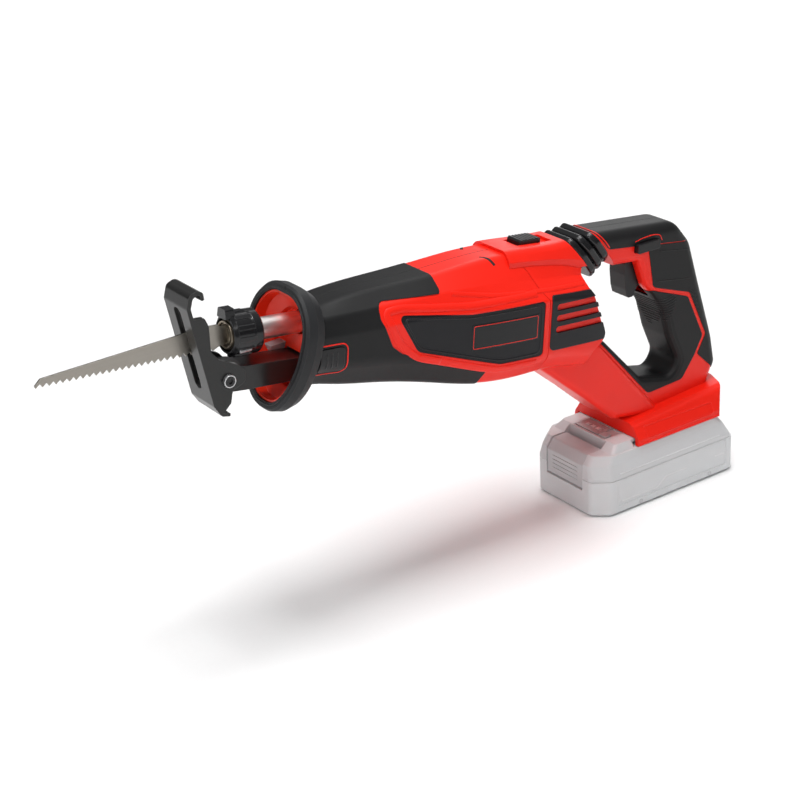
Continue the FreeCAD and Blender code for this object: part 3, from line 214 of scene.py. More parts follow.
RED = (0.88, 0.014, 0.004)
materials = {
    "red_plastic": moulded("red_plastic", RED, 0.36, grain=0.18, edge=0.10, spread=0.04,
                           Specular_IOR_Level=0.25, Coat_Weight=0.06, Coat_Roughness=0.25),
    "funnel_red": moulded("funnel_red", (0.90, 0.030, 0.006), 0.34, grain=0.12, edge=0.10, spread=0.05,
                          Specular_IOR_Level=0.35),
    "soft_black": moulded("soft_black", (0.009, 0.009, 0.0095), 0.46, grain=0.5, edge=0.9,
                          grain_scale=1900, Specular_IOR_Level=0.22),
    "ring_grey": moulded("ring_grey", (0.016, 0.0165, 0.018), 0.52, grain=0.6, edge=0.8, grain_scale=1700,
                         Specular_IOR_Level=0.25),
    "bellows_black": moulded("bellows_black", (0.006, 0.006, 0.007), 0.22, grain=0.12, edge=0.8,
                             Specular_IOR_Level=0.4),
    "charcoal": moulded("charcoal", (0.010, 0.010, 0.012), 0.40, grain=0.35, edge=1.0,
                        Specular_IOR_Level=0.22),
    "black_plastic": moulded("black_plastic", (0.008, 0.008, 0.009), 0.32, grain=0.3, edge=1.0,
                             Specular_IOR_Level=0.3),
    "clamp_black": moulded("clamp_black", (0.006, 0.006, 0.007), 0.20, grain=0.15, edge=1.4,
                           Specular_IOR_Level=0.3, Coat_Weight=0.2, Coat_Roughness=0.12),
    "shoe_steel": moulded("shoe_steel", (0.010, 0.010, 0.0098), 0.30, grain=0.12, edge=1.6,
                          grain_scale=1300, Specular_IOR_Level=0.3, Coat_Weight=0.2, Coat_Roughness=0.2),
    "board_green": moulded("board_green", (0.02, 0.10, 0.04), 0.4),
    "motor_steel": metal("motor_steel", (0.20, 0.20, 0.22), 0.45),
    "shell_pale": moulded("shell_pale", (0.60, 0.605, 0.615), 0.42, grain=0.2, edge=0.12, spread=0.03),
    "tray_pale": moulded("tray_pale", (0.67, 0.68, 0.69), 0.45, grain=0.25, edge=0.3, spread=0.04),
    "latch_pale": moulded("latch_pale", (0.52, 0.52, 0.53), 0.45, grain=0.3, edge=0.3, spread=0.05),
    "gauge_pale": moulded("gauge_pale", (0.46, 0.46, 0.47), 0.25, grain=0.1, edge=0.2, spread=0.03),
    "cell_wrap": moulded("cell_wrap", (0.06, 0.14, 0.22), 0.35),
    "blade_steel": metal("blade_steel", (0.30, 0.28, 0.25), 0.36, stretch=(40, 700, 700)),
    "clamp_steel": metal("clamp_steel", (0.24, 0.20, 0.15), 0.34, edge=0.9),
    "polished_steel": metal("polished_steel", (0.80, 0.77, 0.75), 0.36, depth=0.1, edge=0.1),
    "steel": metal("steel", (0.55, 0.55, 0.56), 0.28),
    "bronze": metal("bronze", (0.50, 0.32, 0.14), 0.38),
    "cast_alloy": metal("cast_alloy", (0.50, 0.51, 0.52), 0.5, stretch=(300, 300, 300)),
}


def lens_material():
    """Clear moulded lens with faint flow marks; its lighter edges are a painted highlight."""
    nodes = Nodes("lens_clear")
    flow = nodes.noise(160, 3)
    lens_edge = 0.0008
    mask, rounded = nodes.edge_mask(lens_edge, low=0.9)
    # Edges paler than the middle: painted highlight.
    colour = nodes.mix(mask, (0.62, 0.64, 0.66), (0.9, 0.92, 0.94))
    return nodes.finish(colour, nodes.span(flow, 0.06, 0.16), nodes.bump(flow, 0.15, 0.0001, rounded),
                        Transmission_Weight=0.55, IOR=1.49)


materials["lens_clear"] = lens_material()
materials["dark_gap"] = moulded("dark_gap", (0.004, 0.004, 0.004), 0.7, grain=0.3, edge=0.2)
materials["badge_gloss"] = moulded("badge_gloss", (0.006, 0.006, 0.007), 0.22, grain=0.05, edge=0.8,
                                   Specular_IOR_Level=0.3)
materials["pale_line"] = moulded("pale_line", (0.75, 0.75, 0.76), 0.3, grain=0.1, edge=0.1, spread=0.02)

for row in frame["record"]["subparts"]:
    data = frame["nodes"][row["node"]].data
    data.materials.clear()
    data.materials.append(materials[row["material_slot"]])


# ---------------------------------------------------------------- piece builders

SHARP_ANGLE = math.radians(35)


def piece(name, verts, faces, material, body, smooth=True):
    """Mesh object with its material that rides on a body; steep edges stay crisp."""
    data = bpy.data.meshes.new(name)
    data.from_pydata([tuple(v) for v in verts], [], faces)
    mesh = bmesh.new()
    mesh.from_mesh(data)
    bmesh.ops.recalc_face_normals(mesh, faces=mesh.faces)
    for face in mesh.faces:
        face.smooth = smooth
    for edge in mesh.edges:
        if len(edge.link_faces) == 2 and edge.calc_face_angle(0) > SHARP_ANGLE:
            edge.smooth = False
    mesh.to_mesh(data)
    mesh.free()
    data.materials.append(materials[material])
    obj = bpy.data.objects.new(name, data)
    bpy.context.scene.collection.objects.link(obj)
    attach(obj, body)
    return obj


def band_faces(rings, size, joined=False):
    """Quads between neighbouring rings of size points; joined ties the last ring to the first."""
    faces = []
    for index in range(rings if joined else rings - 1):
        a, b = index * size, (index + 1) % rings * size
        for k in range(size):
            n = (k + 1) % size
            faces.append((a + k, a + n, b + n, b + k))
    return faces


def end_faces(rings, size):
    """Faces that close the first and the last ring."""
    return [tuple(range(size)), tuple(range((rings - 1) * size, rings * size))]


def circle_point(centre, first, second, radius, angle):
    """Point of a circle in the plane of two unit vectors; radius in millimetres."""
    return centre + (first * math.cos(angle) + second * math.sin(angle)) * (radius * MM)


def rounded_line(points, radius, closed=False, arc=6):
    """Polyline with its corners rounded and its runs divided, in two dimensions."""
    step = 0.8
    longest_reach = 0.48
    count = len(points)
    out = []
    for index in range(count):
        here = Vector(points[index])
        if not closed and index in (0, count - 1):
            out.append(here)
            continue
        before = Vector(points[index - 1])
        after = Vector(points[(index + 1) % count])
        reach = min(radius, (before - here).length * longest_reach, (after - here).length * longest_reach)
        start = here + (before - here).normalized() * reach
        end = here + (after - here).normalized() * reach
        for k in range(arc + 1):
            t = k / arc
            out.append(start * (1 - t) ** 2 + here * 2 * t * (1 - t) + end * t ** 2)
    dense = []
    runs = len(out) if closed else len(out) - 1
    for index in range(runs):
        start, end = out[index], out[(index + 1) % len(out)]
        parts = max(1, int((end - start).length / step))
        dense += [start.lerp(end, k / parts) for k in range(parts)]
    if not closed:
        dense.append(out[-1])
    return dense


def inner_line(points, inset, radius):
    """Closed outline moved inwards by inset, with rounded corners; points run clockwise."""
    count = len(points)
    moved = []
    for index in range(count):
        before, here, after = (Vector(points[k % count]) for k in (index - 1, index, index + 1))
        first = (here - before).normalized()
        second = (after - here).normalized()
        first_normal = Vector((first.y, -first.x))
        normal = (first_normal + Vector((second.y, -second.x))).normalized()
        moved.append(here + normal * (inset / max(normal.dot(first_normal), 0.4)))
    return rounded_line([tuple(p) for p in moved], radius, closed=True)


def surface(*names):
    """Search tree over the surfaces of CAD nodes."""
    verts, polygons = [], []
    for name in names:
        mesh = frame["nodes"][name].data
        base = len(verts)
        verts += [v.co.copy() for v in mesh.vertices]
        polygons += [[base + i for i in p.vertices] for p in mesh.polygons]
    return BVHTree.FromPolygons(verts, polygons)


def cast(tree, rays):
    """Places and normals where rays, given as (start, direction), meet a surface."""
    found = [tree.ray_cast(start, direction) for start, direction in rays]
    return [(place, normal) for place, normal, _, _ in found if place is not None]


def side_hits(tree, line, sign, point=tool):
    """Points of a side-view line laid on a surface from the left (-1) or the right (+1)."""
    far = 120
    return cast(tree, [(point(x, sign * far, z), SIDE_Y * -sign) for x, z in line])


def top_hits(tree, line, sign=1):
    """Points of a plan-view line laid on a surface from above (+1) or below (-1)."""
    far = 150
    return cast(tree, [(tool(x, y, sign * far), TOOL_Z * -sign) for x, y in line])


def loop_hits(tree, centre, first, second, start, end, count):
    """Points on a surface round a centre: rays come in from angles start..end, in degrees."""
    far = 0.15
    rays = []
    for index in range(count):
        angle = math.radians(start + (end - start) * index / (count - 1))
        out = first * math.cos(angle) + second * math.sin(angle)
        rays.append((centre + out * far, -out))
    return cast(tree, rays)


def raised(hits, height):
    """Hits moved off their surface by a height in millimetres."""
    return [(place + normal * (height * MM), normal) for place, normal in hits]


def longest_run(hits):
    """Longest stretch of hits that lie close together."""
    jump = 0.004
    runs = [[hits[0]]] if hits else [[]]
    for last, here in zip(hits, hits[1:]):
        if (here[0] - last[0]).length > jump:
            runs.append([])
        runs[-1].append(here)
    return max(runs, key=len)


def bead(name, hits, width, height, material, body, closed=False):
    """Crowned strip along points on a surface, sunk into it a little."""
    if not closed:
        hits = longest_run(hits)
    if len(hits) < 3:
        raise RuntimeError(name + ": no surface under this line")
    sink = 0.25
    right = [(0.15, 0.96), (0.36, 0.72), (0.5, 0.25), (0.5, -sink / height)]
    shape = [(-u, v) for u, v in reversed(right)] + right
    verts = []
    count = len(hits)
    for index, (place, normal) in enumerate(hits):
        before = hits[index - 1 if closed else max(index - 1, 0)][0]
        after = hits[(index + 1) % count if closed else min(index + 1, count - 1)][0]
        along = (after - before).normalized()
        across = normal.cross(along).normalized()
        up = along.cross(across).normalized()
        if up.dot(normal) < 0:
            up = -up
        verts += [place + across * (u * width * MM) + up * (v * height * MM) for u, v in shape]
    faces = band_faces(count, len(shape), joined=closed)
    if not closed:
        faces += end_faces(count, len(shape))
    return piece(name, verts, faces, material, body)


def lathe(name, profile, centre, axis, material, body, steps=48):
    """Solid of revolution from (distance along the axis, radius) pairs, in millimetres."""
    axis = axis.normalized()
    first = axis.orthogonal().normalized()
    second = axis.cross(first)
    verts = [circle_point(centre + axis * (along * MM), first, second, radius, 2 * math.pi * k / steps)
             for along, radius in profile for k in range(steps)]
    return piece(name, verts, band_faces(len(profile), steps, joined=True), material, body)


def tube_path(name, points, radius, material, body):
    """Round wire through points."""
    sides = 10
    verts = []
    count = len(points)
    for index, here in enumerate(points):
        along = (points[min(index + 1, count - 1)] - points[max(index - 1, 0)]).normalized()
        first = along.cross(TOOL_X)
        first = first.normalized() if first.length > 1e-6 else along.orthogonal().normalized()
        second = along.cross(first)
        verts += [circle_point(here, first, second, radius, 2 * math.pi * k / sides) for k in range(sides)]
    return piece(name, verts, band_faces(count, sides) + end_faces(count, sides), material, body)


def screw(name, centre, axis, head, height, body, material):
    """Round screw head with a chamfered rim and a hex socket, standing on a surface."""
    axis = axis.normalized()
    first = axis.orthogonal().normalized()
    second = axis.cross(first)
    steps = 36
    sector = 2 * math.pi / 6

    def ring(radius, along, hexagonal=False):
        out = []
        for k in range(steps):
            angle = 2 * math.pi * k / steps
            reach = radius
            if hexagonal:
                reach = radius * math.cos(sector / 2) / math.cos(angle % sector - sector / 2)
            out.append(circle_point(centre + axis * (along * MM), first, second, reach, angle))
        return out

    levels = [ring(head, -0.6),
              ring(head, height * 0.55),
              ring(head * 0.9, height * 0.92),
              ring(head * 0.74, height),
              ring(head * 0.52, height, hexagonal=True),
              ring(head * 0.5, height * 0.9, hexagonal=True),
              ring(head * 0.48, -height * 0.2, hexagonal=True),
              ring(head * 0.1, -height * 0.35)]
    verts = [v for level in levels for v in level]
    faces = band_faces(len(levels), steps) + end_faces(len(levels), steps)
    return piece(name, verts, faces, material, body)


def panel_on(name, low, high, tree, sign, thickness, material, body):
    """Thin rectangular panel laid on a side surface, with a bevelled rim."""
    columns, rows = 40, 12
    rim = 0.5
    foot = -0.4
    margin = rim / (high[0] - low[0]), rim / (high[1] - low[1])
    across = [0, 0, *(margin[0] + (1 - 2 * margin[0]) * k / columns for k in range(columns + 1)), 1, 1]
    upward = [0, 0, *(margin[1] + (1 - 2 * margin[1]) * k / rows for k in range(rows + 1)), 1, 1]
    verts, faces = [], []
    for i, u in enumerate(across):
        for k, v in enumerate(upward):
            depth = min(i, k, len(across) - 1 - i, len(upward) - 1 - k)
            height = (foot, 0.5 * thickness)[depth] if depth < 2 else thickness
            point = (low[0] + (high[0] - low[0]) * u, low[1] + (high[1] - low[1]) * v)
            place, normal = side_hits(tree, [point], sign)[0]
            verts.append(place + normal * (height * MM))
    count = len(upward)
    for i in range(len(across) - 1):
        for k in range(count - 1):
            a = i * count + k
            faces.append((a, a + 1, a + count + 1, a + count))
    return piece(name, verts, faces, material, body)


def flat_box(name, low, high, material, body):
    """Small block with a chamfered top, in the row frame."""
    chamfer = 0.3
    verts = []
    for z, inset in ((low[2], 0), (high[2] - chamfer, 0), (high[2], chamfer)):
        verts += [flat(low[0] + inset, low[1] + inset, z), flat(high[0] - inset, low[1] + inset, z),
                  flat(high[0] - inset, high[1] - inset, z), flat(low[0] + inset, high[1] - inset, z)]
    return piece(name, verts, band_faces(3, 4) + end_faces(3, 4), material, body, smooth=False)


def sided(name, sign):
    """Name of a piece on the left (-1) or on the right (+1)."""
    return name + ("_left" if sign < 0 else "_right")


# ---------------------------------------------------------------- camera, light and floor

AZIMUTH = math.radians(-33.9)
ELEVATION = math.radians(24.4)
ROLL = math.radians(-3.15)
CAMERA_PLACE = Vector((-0.8224, -0.9193, 0.6265))


def add_camera():
    """Camera turned a little about its own view direction."""
    back = Vector((math.sin(AZIMUTH) * math.cos(ELEVATION), -math.cos(AZIMUTH) * math.cos(ELEVATION),
                   math.sin(ELEVATION)))
    right = Vector((math.cos(AZIMUTH), math.sin(AZIMUTH), 0))
    up = back.cross(right)
    turned_right = right * math.cos(ROLL) + up * math.sin(ROLL)
    turned_up = up * math.cos(ROLL) - right * math.sin(ROLL)
    data = bpy.data.cameras.new("camera")
    data.lens = 83.25
    data.sensor_width = 36
    data.clip_start = 0.01
    obj = bpy.data.objects.new("camera", data)
    rotation = Matrix((turned_right, turned_up, back)).transposed()
    obj.matrix_world = Matrix.Translation(CAMERA_PLACE) @ rotation.to_4x4()
    bpy.context.scene.collection.objects.link(obj)
    bpy.context.scene.camera = obj


def area_light(name, place, target, width, height, power):
    """Rectangular lamp, aimed at target."""
    data = bpy.data.lights.new(name, "AREA")
    data.shape = "RECTANGLE"
    data.size = width
    data.size_y = height
    data.energy = power
    obj = bpy.data.objects.new(name, data)
    obj.location = place
    obj.rotation_euler = (Vector(target) - Vector(place)).to_track_quat("-Z", "Y").to_euler()
    bpy.context.scene.collection.objects.link(obj)


def add_light():
    """Studio light: a sky that is dark at the horizon and four soft lamps."""
    world = bpy.data.worlds.new("studio")
    bpy.context.scene.world = world
    world.use_nodes = True
    tree = world.node_tree
    background = tree.nodes["Background"]
    place = tree.nodes.new("ShaderNodeTexCoord")
    split = tree.nodes.new("ShaderNodeSeparateXYZ")
    ramp = tree.nodes.new("ShaderNodeValToRGB")
    low, high = ramp.color_ramp.elements
    low.position = 0.0
    low.color = (0.10, 0.10, 0.105, 1)
    high.position = 0.8
    high.color = (1, 1, 1, 1)
    tree.links.new(place.outputs["Generated"], split.inputs["Vector"])
    tree.links.new(split.outputs["Z"], ramp.inputs["Fac"])
    tree.links.new(ramp.outputs["Color"], background.inputs["Color"])
    background.inputs["Strength"].default_value = 0.38
    area_light("key", (-1.3, -0.8, 1.4), (-0.1, 0, 0.15), 0.7, 0.7, 7)
    area_light("fill", (-1.0, -1.3, 0.3), (-0.1, 0, 0.15), 1.0, 0.4, 1.6)
    area_light("top", (-0.1, 0.0, 1.8), (-0.15, 0, 0.1), 0.8, 0.7, 25)
    area_light("rim", (0.9, 0.9, 0.8), (-0.05, 0, 0.15), 0.5, 1.2, 3)
    bpy.context.scene.view_settings.view_transform = "Standard"


def add_floor():
    """White paper; it glows a little where it is far from the lights, like a lit backdrop."""
    size = 8.0
    level = -0.0004
    glow_start = 0.45
    glow_end = 1.8
    glow_strength = 0.75
    data = bpy.data.meshes.new("floor")
    corners = [(-size, -size, level), (size, -size, level), (size, size, level), (-size, size, level)]
    data.from_pydata(corners, [], [(0, 1, 2, 3)])
    nodes = Nodes("floor_paper")
    fleck = nodes.noise(300, 2)
    colour = nodes.mix(fleck, (0.93, 0.93, 0.93), (0.95, 0.95, 0.95))
    nodes.shader.inputs["Specular IOR Level"].default_value = 0.1
    away = nodes.add("ShaderNodeVectorMath", operation="LENGTH")
    nodes.link(nodes.place, away.inputs[0])
    glow = nodes.span(away.outputs["Value"], 0.0, glow_strength, glow_start, glow_end)
    nodes.shader.inputs["Emission Color"].default_value = (1, 1, 1, 1)
    nodes.link(glow, nodes.shader.inputs["Emission Strength"])
    data.materials.append(nodes.finish(colour, nodes.span(fleck, 0.85, 0.95),
                                       nodes.bump(fleck, 0.02, 0.0001)))
    obj = bpy.data.objects.new("floor", data)
    bpy.context.scene.collection.objects.link(obj)


add_camera()
add_light()
add_floor()


body_skin = surface("nose_sleeve", "front_housing_left", "front_housing_right", "side_inlay_left",
                    "side_inlay_right", "rear_housing_left", "rear_housing_right", "top_cover")
inlays = surface("side_inlay_left", "side_inlay_right")


# ---------------------------------------------------------------- body details

INLAY_BORDER = [(-56, 2.2), (-110, 2.0), (-135, 4.2), (-161, 6.8), (-170.8, 5.5), (-170.6, 1),
                (-163.5, -14), (-156.5, -21.5), (-148, -26.8), (-99, -41.6), (-87, -44.4), (-56, -44.6)]
INLAY_OUTLINE = [(-164.5, 3), (-135, 0), (-110, -3), (-50.5, -2.8), (-50.5, -40.5), (-86, -40.5),
                 (-97, -37.5), (-149, -22.8)]
BADGE_OUTLINE = [(-109, -10.5), (-55.5, -10.5), (-55.5, -28), (-109, -28)]
FLANK_CREASE = [(-122, 10.8), (-110, 8.7), (-87, 5.0), (-64, 3.6)]
REAR_CREASE = [(-58, 3.3), (-38, 2.2), (-11, 1.0)]


def add_parting_lines():
    """Joint between the housing halves, along the top and the bottom."""
    for name, rear_end, sign in (("top_parting_line", -72, 1), ("bottom_parting_line", -48, -1)):
        line = rounded_line([(-219, 0), (rear_end, 0)], 1)
        bead(name, top_hits(body_skin, line, sign), 0.5, 0.07, "dark_gap", "saw_body")


def add_body_lines(sign):
    """Air slit, soft creases, inlay border and rim, and the plain badge of one side."""
    # The slit is a dark strip lying on the housing: painted shade of its opening.
    slit = rounded_line([(-86.5, sign * 9.5), (-80.5, sign * 18.5)], 1)
    bead(sided("air_slit", sign), top_hits(body_skin, slit), 2.0, 0.08, "dark_gap", "saw_body")
    for name, crease in (("flank_crease", FLANK_CREASE), ("rear_crease", REAR_CREASE)):
        bead(sided(name, sign), side_hits(body_skin, rounded_line(crease, 20), sign), 3.4, 0.5,
             "red_plastic", "saw_body")
    bead(sided("inlay_border", sign), side_hits(body_skin, rounded_line(INLAY_BORDER, 6), sign), 5.2, 0.9,
         "red_plastic", "saw_body")
    bead(sided("inlay_rim", sign), side_hits(inlays, inner_line(INLAY_OUTLINE, 2.4, 5), sign), 1.3, 0.5,
         "charcoal", "saw_body", closed=True)
    panel_on(sided("badge", sign), BADGE_OUTLINE[3], BADGE_OUTLINE[1], inlays, sign, 0.35, "badge_gloss",
             "saw_body")
    bead(sided("badge_line", sign), raised(side_hits(inlays, inner_line(BADGE_OUTLINE, 1.1, 1.2), sign), 0.3),
         0.45, 0.16, "red_plastic", "saw_body", closed=True)


def add_release_lines():
    """Red outline round the shoe release and the ribs on its button."""
    sleeve = surface("nose_sleeve")
    outline = [(-221, -8.2), (-203.5, -8.2), (-200.8, -11), (-200.8, -26), (-203.5, -28.8), (-221, -28.8)]
    bead("release_outline", side_hits(sleeve, rounded_line(outline, 3), -1), 0.9, 0.25, "red_plastic",
         "saw_body")
    button = surface("shoe_release")
    first_rib, rib_pitch = -216, 3.6
    for index in range(3):
        x = first_rib + rib_pitch * index
        line = rounded_line([(x, -13.5), (x, -23.5)], 1)
        bead("release_rib_%d" % (index + 1), side_hits(button, line, -1), 1.1, 0.4, "black_plastic",
             "shoe_button")


# ---------------------------------------------------------------- nose details

NOSE_RAKE = math.radians(11.2)
NOSE_PLANE = -234.7
RING_CORNER = 10.5


def nose(depth, across, height):
    """Point of the raked nose frame: depth behind the ring's front plane."""
    return tool(NOSE_PLANE + depth * math.cos(NOSE_RAKE) + height * math.sin(NOSE_RAKE), across,
                -depth * math.sin(NOSE_RAKE) + height * math.cos(NOSE_RAKE))


NOSE_AXIS = (nose(1, 0, 0) - nose(0, 0, 0)).normalized()
NOSE_DOWN = (nose(0, 0, 0) - nose(0, 0, 1)).normalized()


def ring_line(reach):
    """Egg-shaped outline of the nose opening, grown by reach."""
    half = [(15 + 0.35 * reach, 21 + reach), (29.5 + reach, 6 + 0.4 * reach),
            (29.5 + reach, -17 - 0.1 * reach), (22 + 0.8 * reach, -36 - 0.6 * reach),
            (10 + 0.4 * reach, -48.5 - reach)]
    return rounded_line(half + [(-u, v) for u, v in reversed(half)], RING_CORNER, closed=True, arc=8)


def front_hits(tree, line):
    """Points of a front-view line laid on a surface that faces the blade."""
    in_front = -40
    return cast(tree, [(nose(in_front, across, height), NOSE_AXIS) for across, height in line])


def add_nose_details():
    """Lip, joint and small hole of the rubber ring."""
    ring = surface("nose_ring")
    bead("ring_lip", front_hits(ring, ring_line(1.5)), 1.1, 0.45, "ring_grey", "saw_body",
         closed=True)
    joint_across, above = -1.2, 40
    hits = cast(ring, [(nose(depth, joint_across, above), NOSE_DOWN) for depth in (1, 4, 7, 10)])
    bead("ring_slit", hits, 0.6, 0.08, "dark_gap", "saw_body")
    # The hole is a thin dark disc standing on the ring: painted shade of its opening.
    place, normal = front_hits(ring, [(joint_across, 24.3)])[0]
    lathe("ring_hole", [(-0.6, 0.05), (0.05, 0.05), (0.07, 0.9), (0.02, 1.35), (-0.6, 1.35)], place, normal,
          "dark_gap", "saw_body", steps=24)


# ---------------------------------------------------------------- clamp and shoe details

CLAMP_FRONT = -270.6
COLLAR_FRONT = -271
PIVOT_X = -277
PIVOT_Z = -24


def out_from_spindle(degrees):
    """Unit vector away from the spindle's axis; 0 is the right side and 90 is up."""
    angle = math.radians(degrees)
    return SIDE_Y * math.cos(angle) + TOOL_Z * math.sin(angle)


def add_clamp_spring():
    """Open wire ring in front of the clamp, rising slowly along its turn."""
    steps, start, sweep = 72, 20, 300
    radius, front, rise = 8.3, -271.4, 0.3
    wire = []
    for index in range(steps + 1):
        angle = math.radians(start + sweep * index / steps)
        wire.append(tool(front + rise * index / steps, radius * math.cos(angle), radius * math.sin(angle)))
    tube_path("clamp_spring", wire, 0.8, "clamp_steel", "spindle_unit")


def add_clamp_lug():
    """Small bevelled steel block on the collar."""
    direction = out_from_spindle(212)
    across = TOOL_X.cross(direction)
    seat = 13.5
    centre = tool(-264, 0, 0) + direction * (seat * MM)
    corners = [(-4.5, -1.1, 0), (4.5, -1.1, 0), (4.5, 1.1, 0), (-4.5, 1.1, 0),
               (-4, -0.7, 1.9), (4, -0.7, 1.4), (4, 0.7, 1.4), (-4, 0.7, 1.9)]
    verts = [centre + TOOL_X * (u * MM) + across * (v * MM) + direction * (w * MM) for u, v, w in corners]
    piece("clamp_lug", verts, band_faces(2, 4) + end_faces(2, 4), "steel", "clamp_ring",
          smooth=False)


def add_clamp_details():
    """Rings on the clamp's face and the dark dots on its collar."""
    lathe("clamp_face_ring", [(0.4, 4.6), (-1.0, 4.8), (-1.4, 5.5), (-1.0, 6.4), (0.4, 6.6)],
          tool(CLAMP_FRONT, 0, 0), TOOL_X, "clamp_steel", "spindle_unit")
    lathe("clamp_lip", [(0.3, 10.9), (-0.4, 11.0), (-0.5, 11.3), (-0.3, 11.7), (0.3, 11.75)],
          tool(COLLAR_FRONT, 0, 0), TOOL_X, "clamp_black", "clamp_ring")
    collar = surface("clamp_collar")
    dot_x, dot_radius, far = -254, 1.1, 0.05
    dot = [(-0.4, 0.05), (0.04, 0.05), (0.06, 0.7 * dot_radius), (0.02, dot_radius), (-0.4, dot_radius)]
    for number, degrees in enumerate((200, 20)):
        direction = out_from_spindle(degrees)
        place, normal = cast(collar, [(tool(dot_x, 0, 0) + direction * far, -direction)])[0]
        lathe("clamp_dot_%d" % (number + 1), dot, place, normal, "dark_gap", "clamp_ring",
              steps=20)


def add_shoe_details():
    """Hex screw and bright rim at each end of the shoe's pivot pin."""
    plate = surface("shoe_plate", "pivot_pin")
    beside_socket = 3.2
    pivot = tool(PIVOT_X, 0, PIVOT_Z)
    rim = [(-0.6, 3.3), (0.8, 3.4), (0.8, 4.0), (-0.6, 4.3)]
    for sign in (-1, 1):
        on_pin = side_hits(plate, [(PIVOT_X + beside_socket, PIVOT_Z)], sign)[0][0]
        place = Vector((pivot.x, on_pin.y, pivot.z))
        screw(sided("shoe_screw", sign), place, SIDE_Y * sign, 3.5, 1.1, "shoe", "clamp_black")
        lathe(sided("shoe_screw_rim", sign), rim, place, SIDE_Y * sign, "steel", "shoe", steps=36)


# ---------------------------------------------------------------- handle details

LOCK_ARC = [(43.5, 19.4), (50, 21.2), (60, 22.4), (66.5, 21.6), (68.5, 17.5)]
REAR_PANEL_LINES = ([(68, 9.5), (98, 7.0)], [(69, -12.5), (99, -14.8)])


def rubber_line(name, hits, width, height):
    """Raised line on the handle's soft black skins."""
    bead(name, hits, width, height, "soft_black", "saw_body")


def add_cover_lines():
    """Red edge where the handle's top cover meets the bellows, and the joint along its top."""
    cover = surface("cover_skin")
    slant = (tool(-7.3, 0, 50) - tool(19.8, 0, 17.2)).normalized()
    edge = loop_hits(cover, tool(20.6, 0, 18), SIDE_Y, slant, 2, 178, 70)
    bead("cover_edge_line", edge, 0.9, 0.3, "red_plastic", "saw_body")
    bead("cover_parting_line", top_hits(cover, rounded_line([(-4, 0), (88, 0)], 1)), 0.4, 0.06, "dark_gap",
         "saw_body")
    return cover


def add_grip_ribs(grip, sign):
    """Nested arcs on the side of the grip."""
    count, first_radius, pitch, parts = 10, 46, 2.0, 29
    start, longest, shortening = -97, 34, 1.4
    middle = (67, 18)
    for index in range(count):
        radius = first_radius + pitch * index
        line = []
        for k in range(parts + 1):
            angle = math.radians(start + (longest - shortening * index) * k / parts)
            line.append((middle[0] + radius * math.cos(angle), middle[1] + radius * math.sin(angle)))
        rubber_line(sided("grip_rib_%02d" % (index + 1), sign), side_hits(grip, line, sign), 0.8, 0.35)


def add_hatching(rear, sign):
    """Short slanted ribs down the rear panel; those that would miss it are left out."""
    top, pitch, lean = -24, 3.0, 0.38
    for index in range(13):
        level = top - pitch * index
        x = 106.5 - lean * (level - top) - 4
        hits = side_hits(rear, rounded_line([(x - 3.4, level + 1.6), (x + 3.0, level - 2.4)], 1), sign)
        if len(hits) > 3:
            rubber_line(sided("hatch_%02d" % (index + 1), sign), hits, 0.9, 0.35)


def add_handle_details():
    """Lines and ribs of the handle's skins."""
    cover = add_cover_lines()
    grip = surface("grip_skin")
    rear = surface("rear_panel_skin")
    for sign in (-1, 1):
        for number, line in enumerate(REAR_PANEL_LINES):
            rubber_line(sided("rear_panel_line_%d" % (number + 1), sign),
                        side_hits(rear, rounded_line(line, 1), sign), 0.9, 0.25)
        add_grip_ribs(grip, sign)
        bead(sided("lock_arc", sign), side_hits(cover, rounded_line(LOCK_ARC, 4), sign), 0.7, 0.25,
             "red_plastic", "saw_body")
        add_hatching(rear, sign)
    first_rib, rib_pitch = -29, 2.0
    for index in range(12):
        centre = tool(86, 0, first_rib - rib_pitch * index)
        rubber_line("grip_front_rib_%02d" % (index + 1),
                    loop_hits(grip, centre, SIDE_Y, -TOOL_X, 32, 148, 25), 0.9, 0.4)


# ---------------------------------------------------------------- foot and battery details

FOOT_PANEL = [(-18, 57.5), (46, 57.5), (46, 49.6), (-18, 49.6)]
LABEL_LINE = [(-44, 9.4), (-10, 9.4), (-2, 15.6), (18, 15.6)]
LABEL_END = [(46, 15.6), (55, 15.6)]


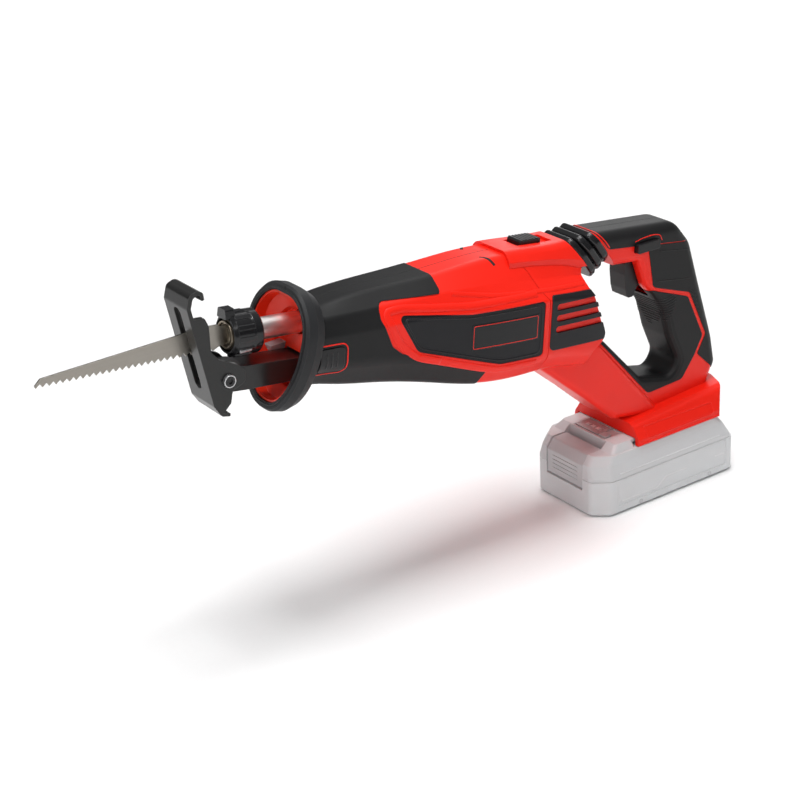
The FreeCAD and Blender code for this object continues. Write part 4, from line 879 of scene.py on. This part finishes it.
def add_foot_lines(foot, sign):
    """Raised panel outline and lower bead of the red foot."""
    bead(sided("foot_panel", sign), side_hits(foot, inner_line(FOOT_PANEL, 0, 2), sign, flat), 1.1, 0.35,
         "red_plastic", "saw_body", closed=True)
    lower = rounded_line([(-25, 46.6), (50, 46.6)], 1)
    bead(sided("foot_bead", sign), side_hits(foot, lower, sign, flat), 1.6, 0.5, "red_plastic", "saw_body")


def add_battery_lines(tray, shell, sign):
    """Two plain pale lines, two screws and the shell's groove on one side of the battery."""
    for name, line, radius in (("label_line", LABEL_LINE, 2), ("label_line_end", LABEL_END, 1)):
        bead(sided(name, sign), side_hits(tray, rounded_line(line, radius), sign, flat), 1.2, 0.12,
             "pale_line", "battery")
    screw_level = 3.6
    for number, x in enumerate((-27, 40)):
        place, normal = side_hits(shell, [(x, screw_level)], sign, flat)[0]
        screw(sided("battery_screw_%d" % (number + 1), sign), place, normal, 1.7, 0.35, "battery",
              "latch_pale")
    groove = rounded_line([(-46, 31.5), (50, 31.5)], 1)
    bead(sided("shell_groove", sign), side_hits(shell, groove, sign, flat), 0.8, 0.2, "tray_pale", "battery")


def add_gauge_lights():
    """Three pale blocks under the charge gauge's window."""
    half = 1.7
    for number, across in enumerate((-0.8, 4.6, 10.0)):
        flat_box("gauge_light_%d" % (number + 1), (-36.4, across - half, 50.2), (-33.2, across + half, 50.75),
                 "pale_line", "battery")


def add_latch_ribs():
    """Level ribs across the face of the battery's latch."""
    latch = surface("battery_latch")
    first_level, pitch = 24, 3.2
    left, width, parts, in_front = -13.5, 27, 23, -120
    for index in range(4):
        level = first_level + pitch * index
        rays = [(flat(in_front, left + width * k / parts, level), Vector((1, 0, 0)))
                for k in range(parts + 1)]
        bead("latch_rib_%d" % (index + 1), cast(latch, rays), 1.1, 0.5, "latch_pale", "latch")


def add_battery_details():
    """Everything on the foot and the battery."""
    foot = surface("rear_housing_left", "rear_housing_right")
    tray = surface("battery_tray")
    shell = surface("battery_shell", "battery_tray")
    for sign in (-1, 1):
        add_foot_lines(foot, sign)
        add_battery_lines(tray, shell, sign)
    add_gauge_lights()
    add_latch_ribs()


add_parting_lines()
add_body_lines(-1)
add_body_lines(1)
add_release_lines()
add_nose_details()
add_clamp_spring()
add_clamp_details()
add_clamp_lug()
add_shoe_details()
add_handle_details()
add_battery_details()
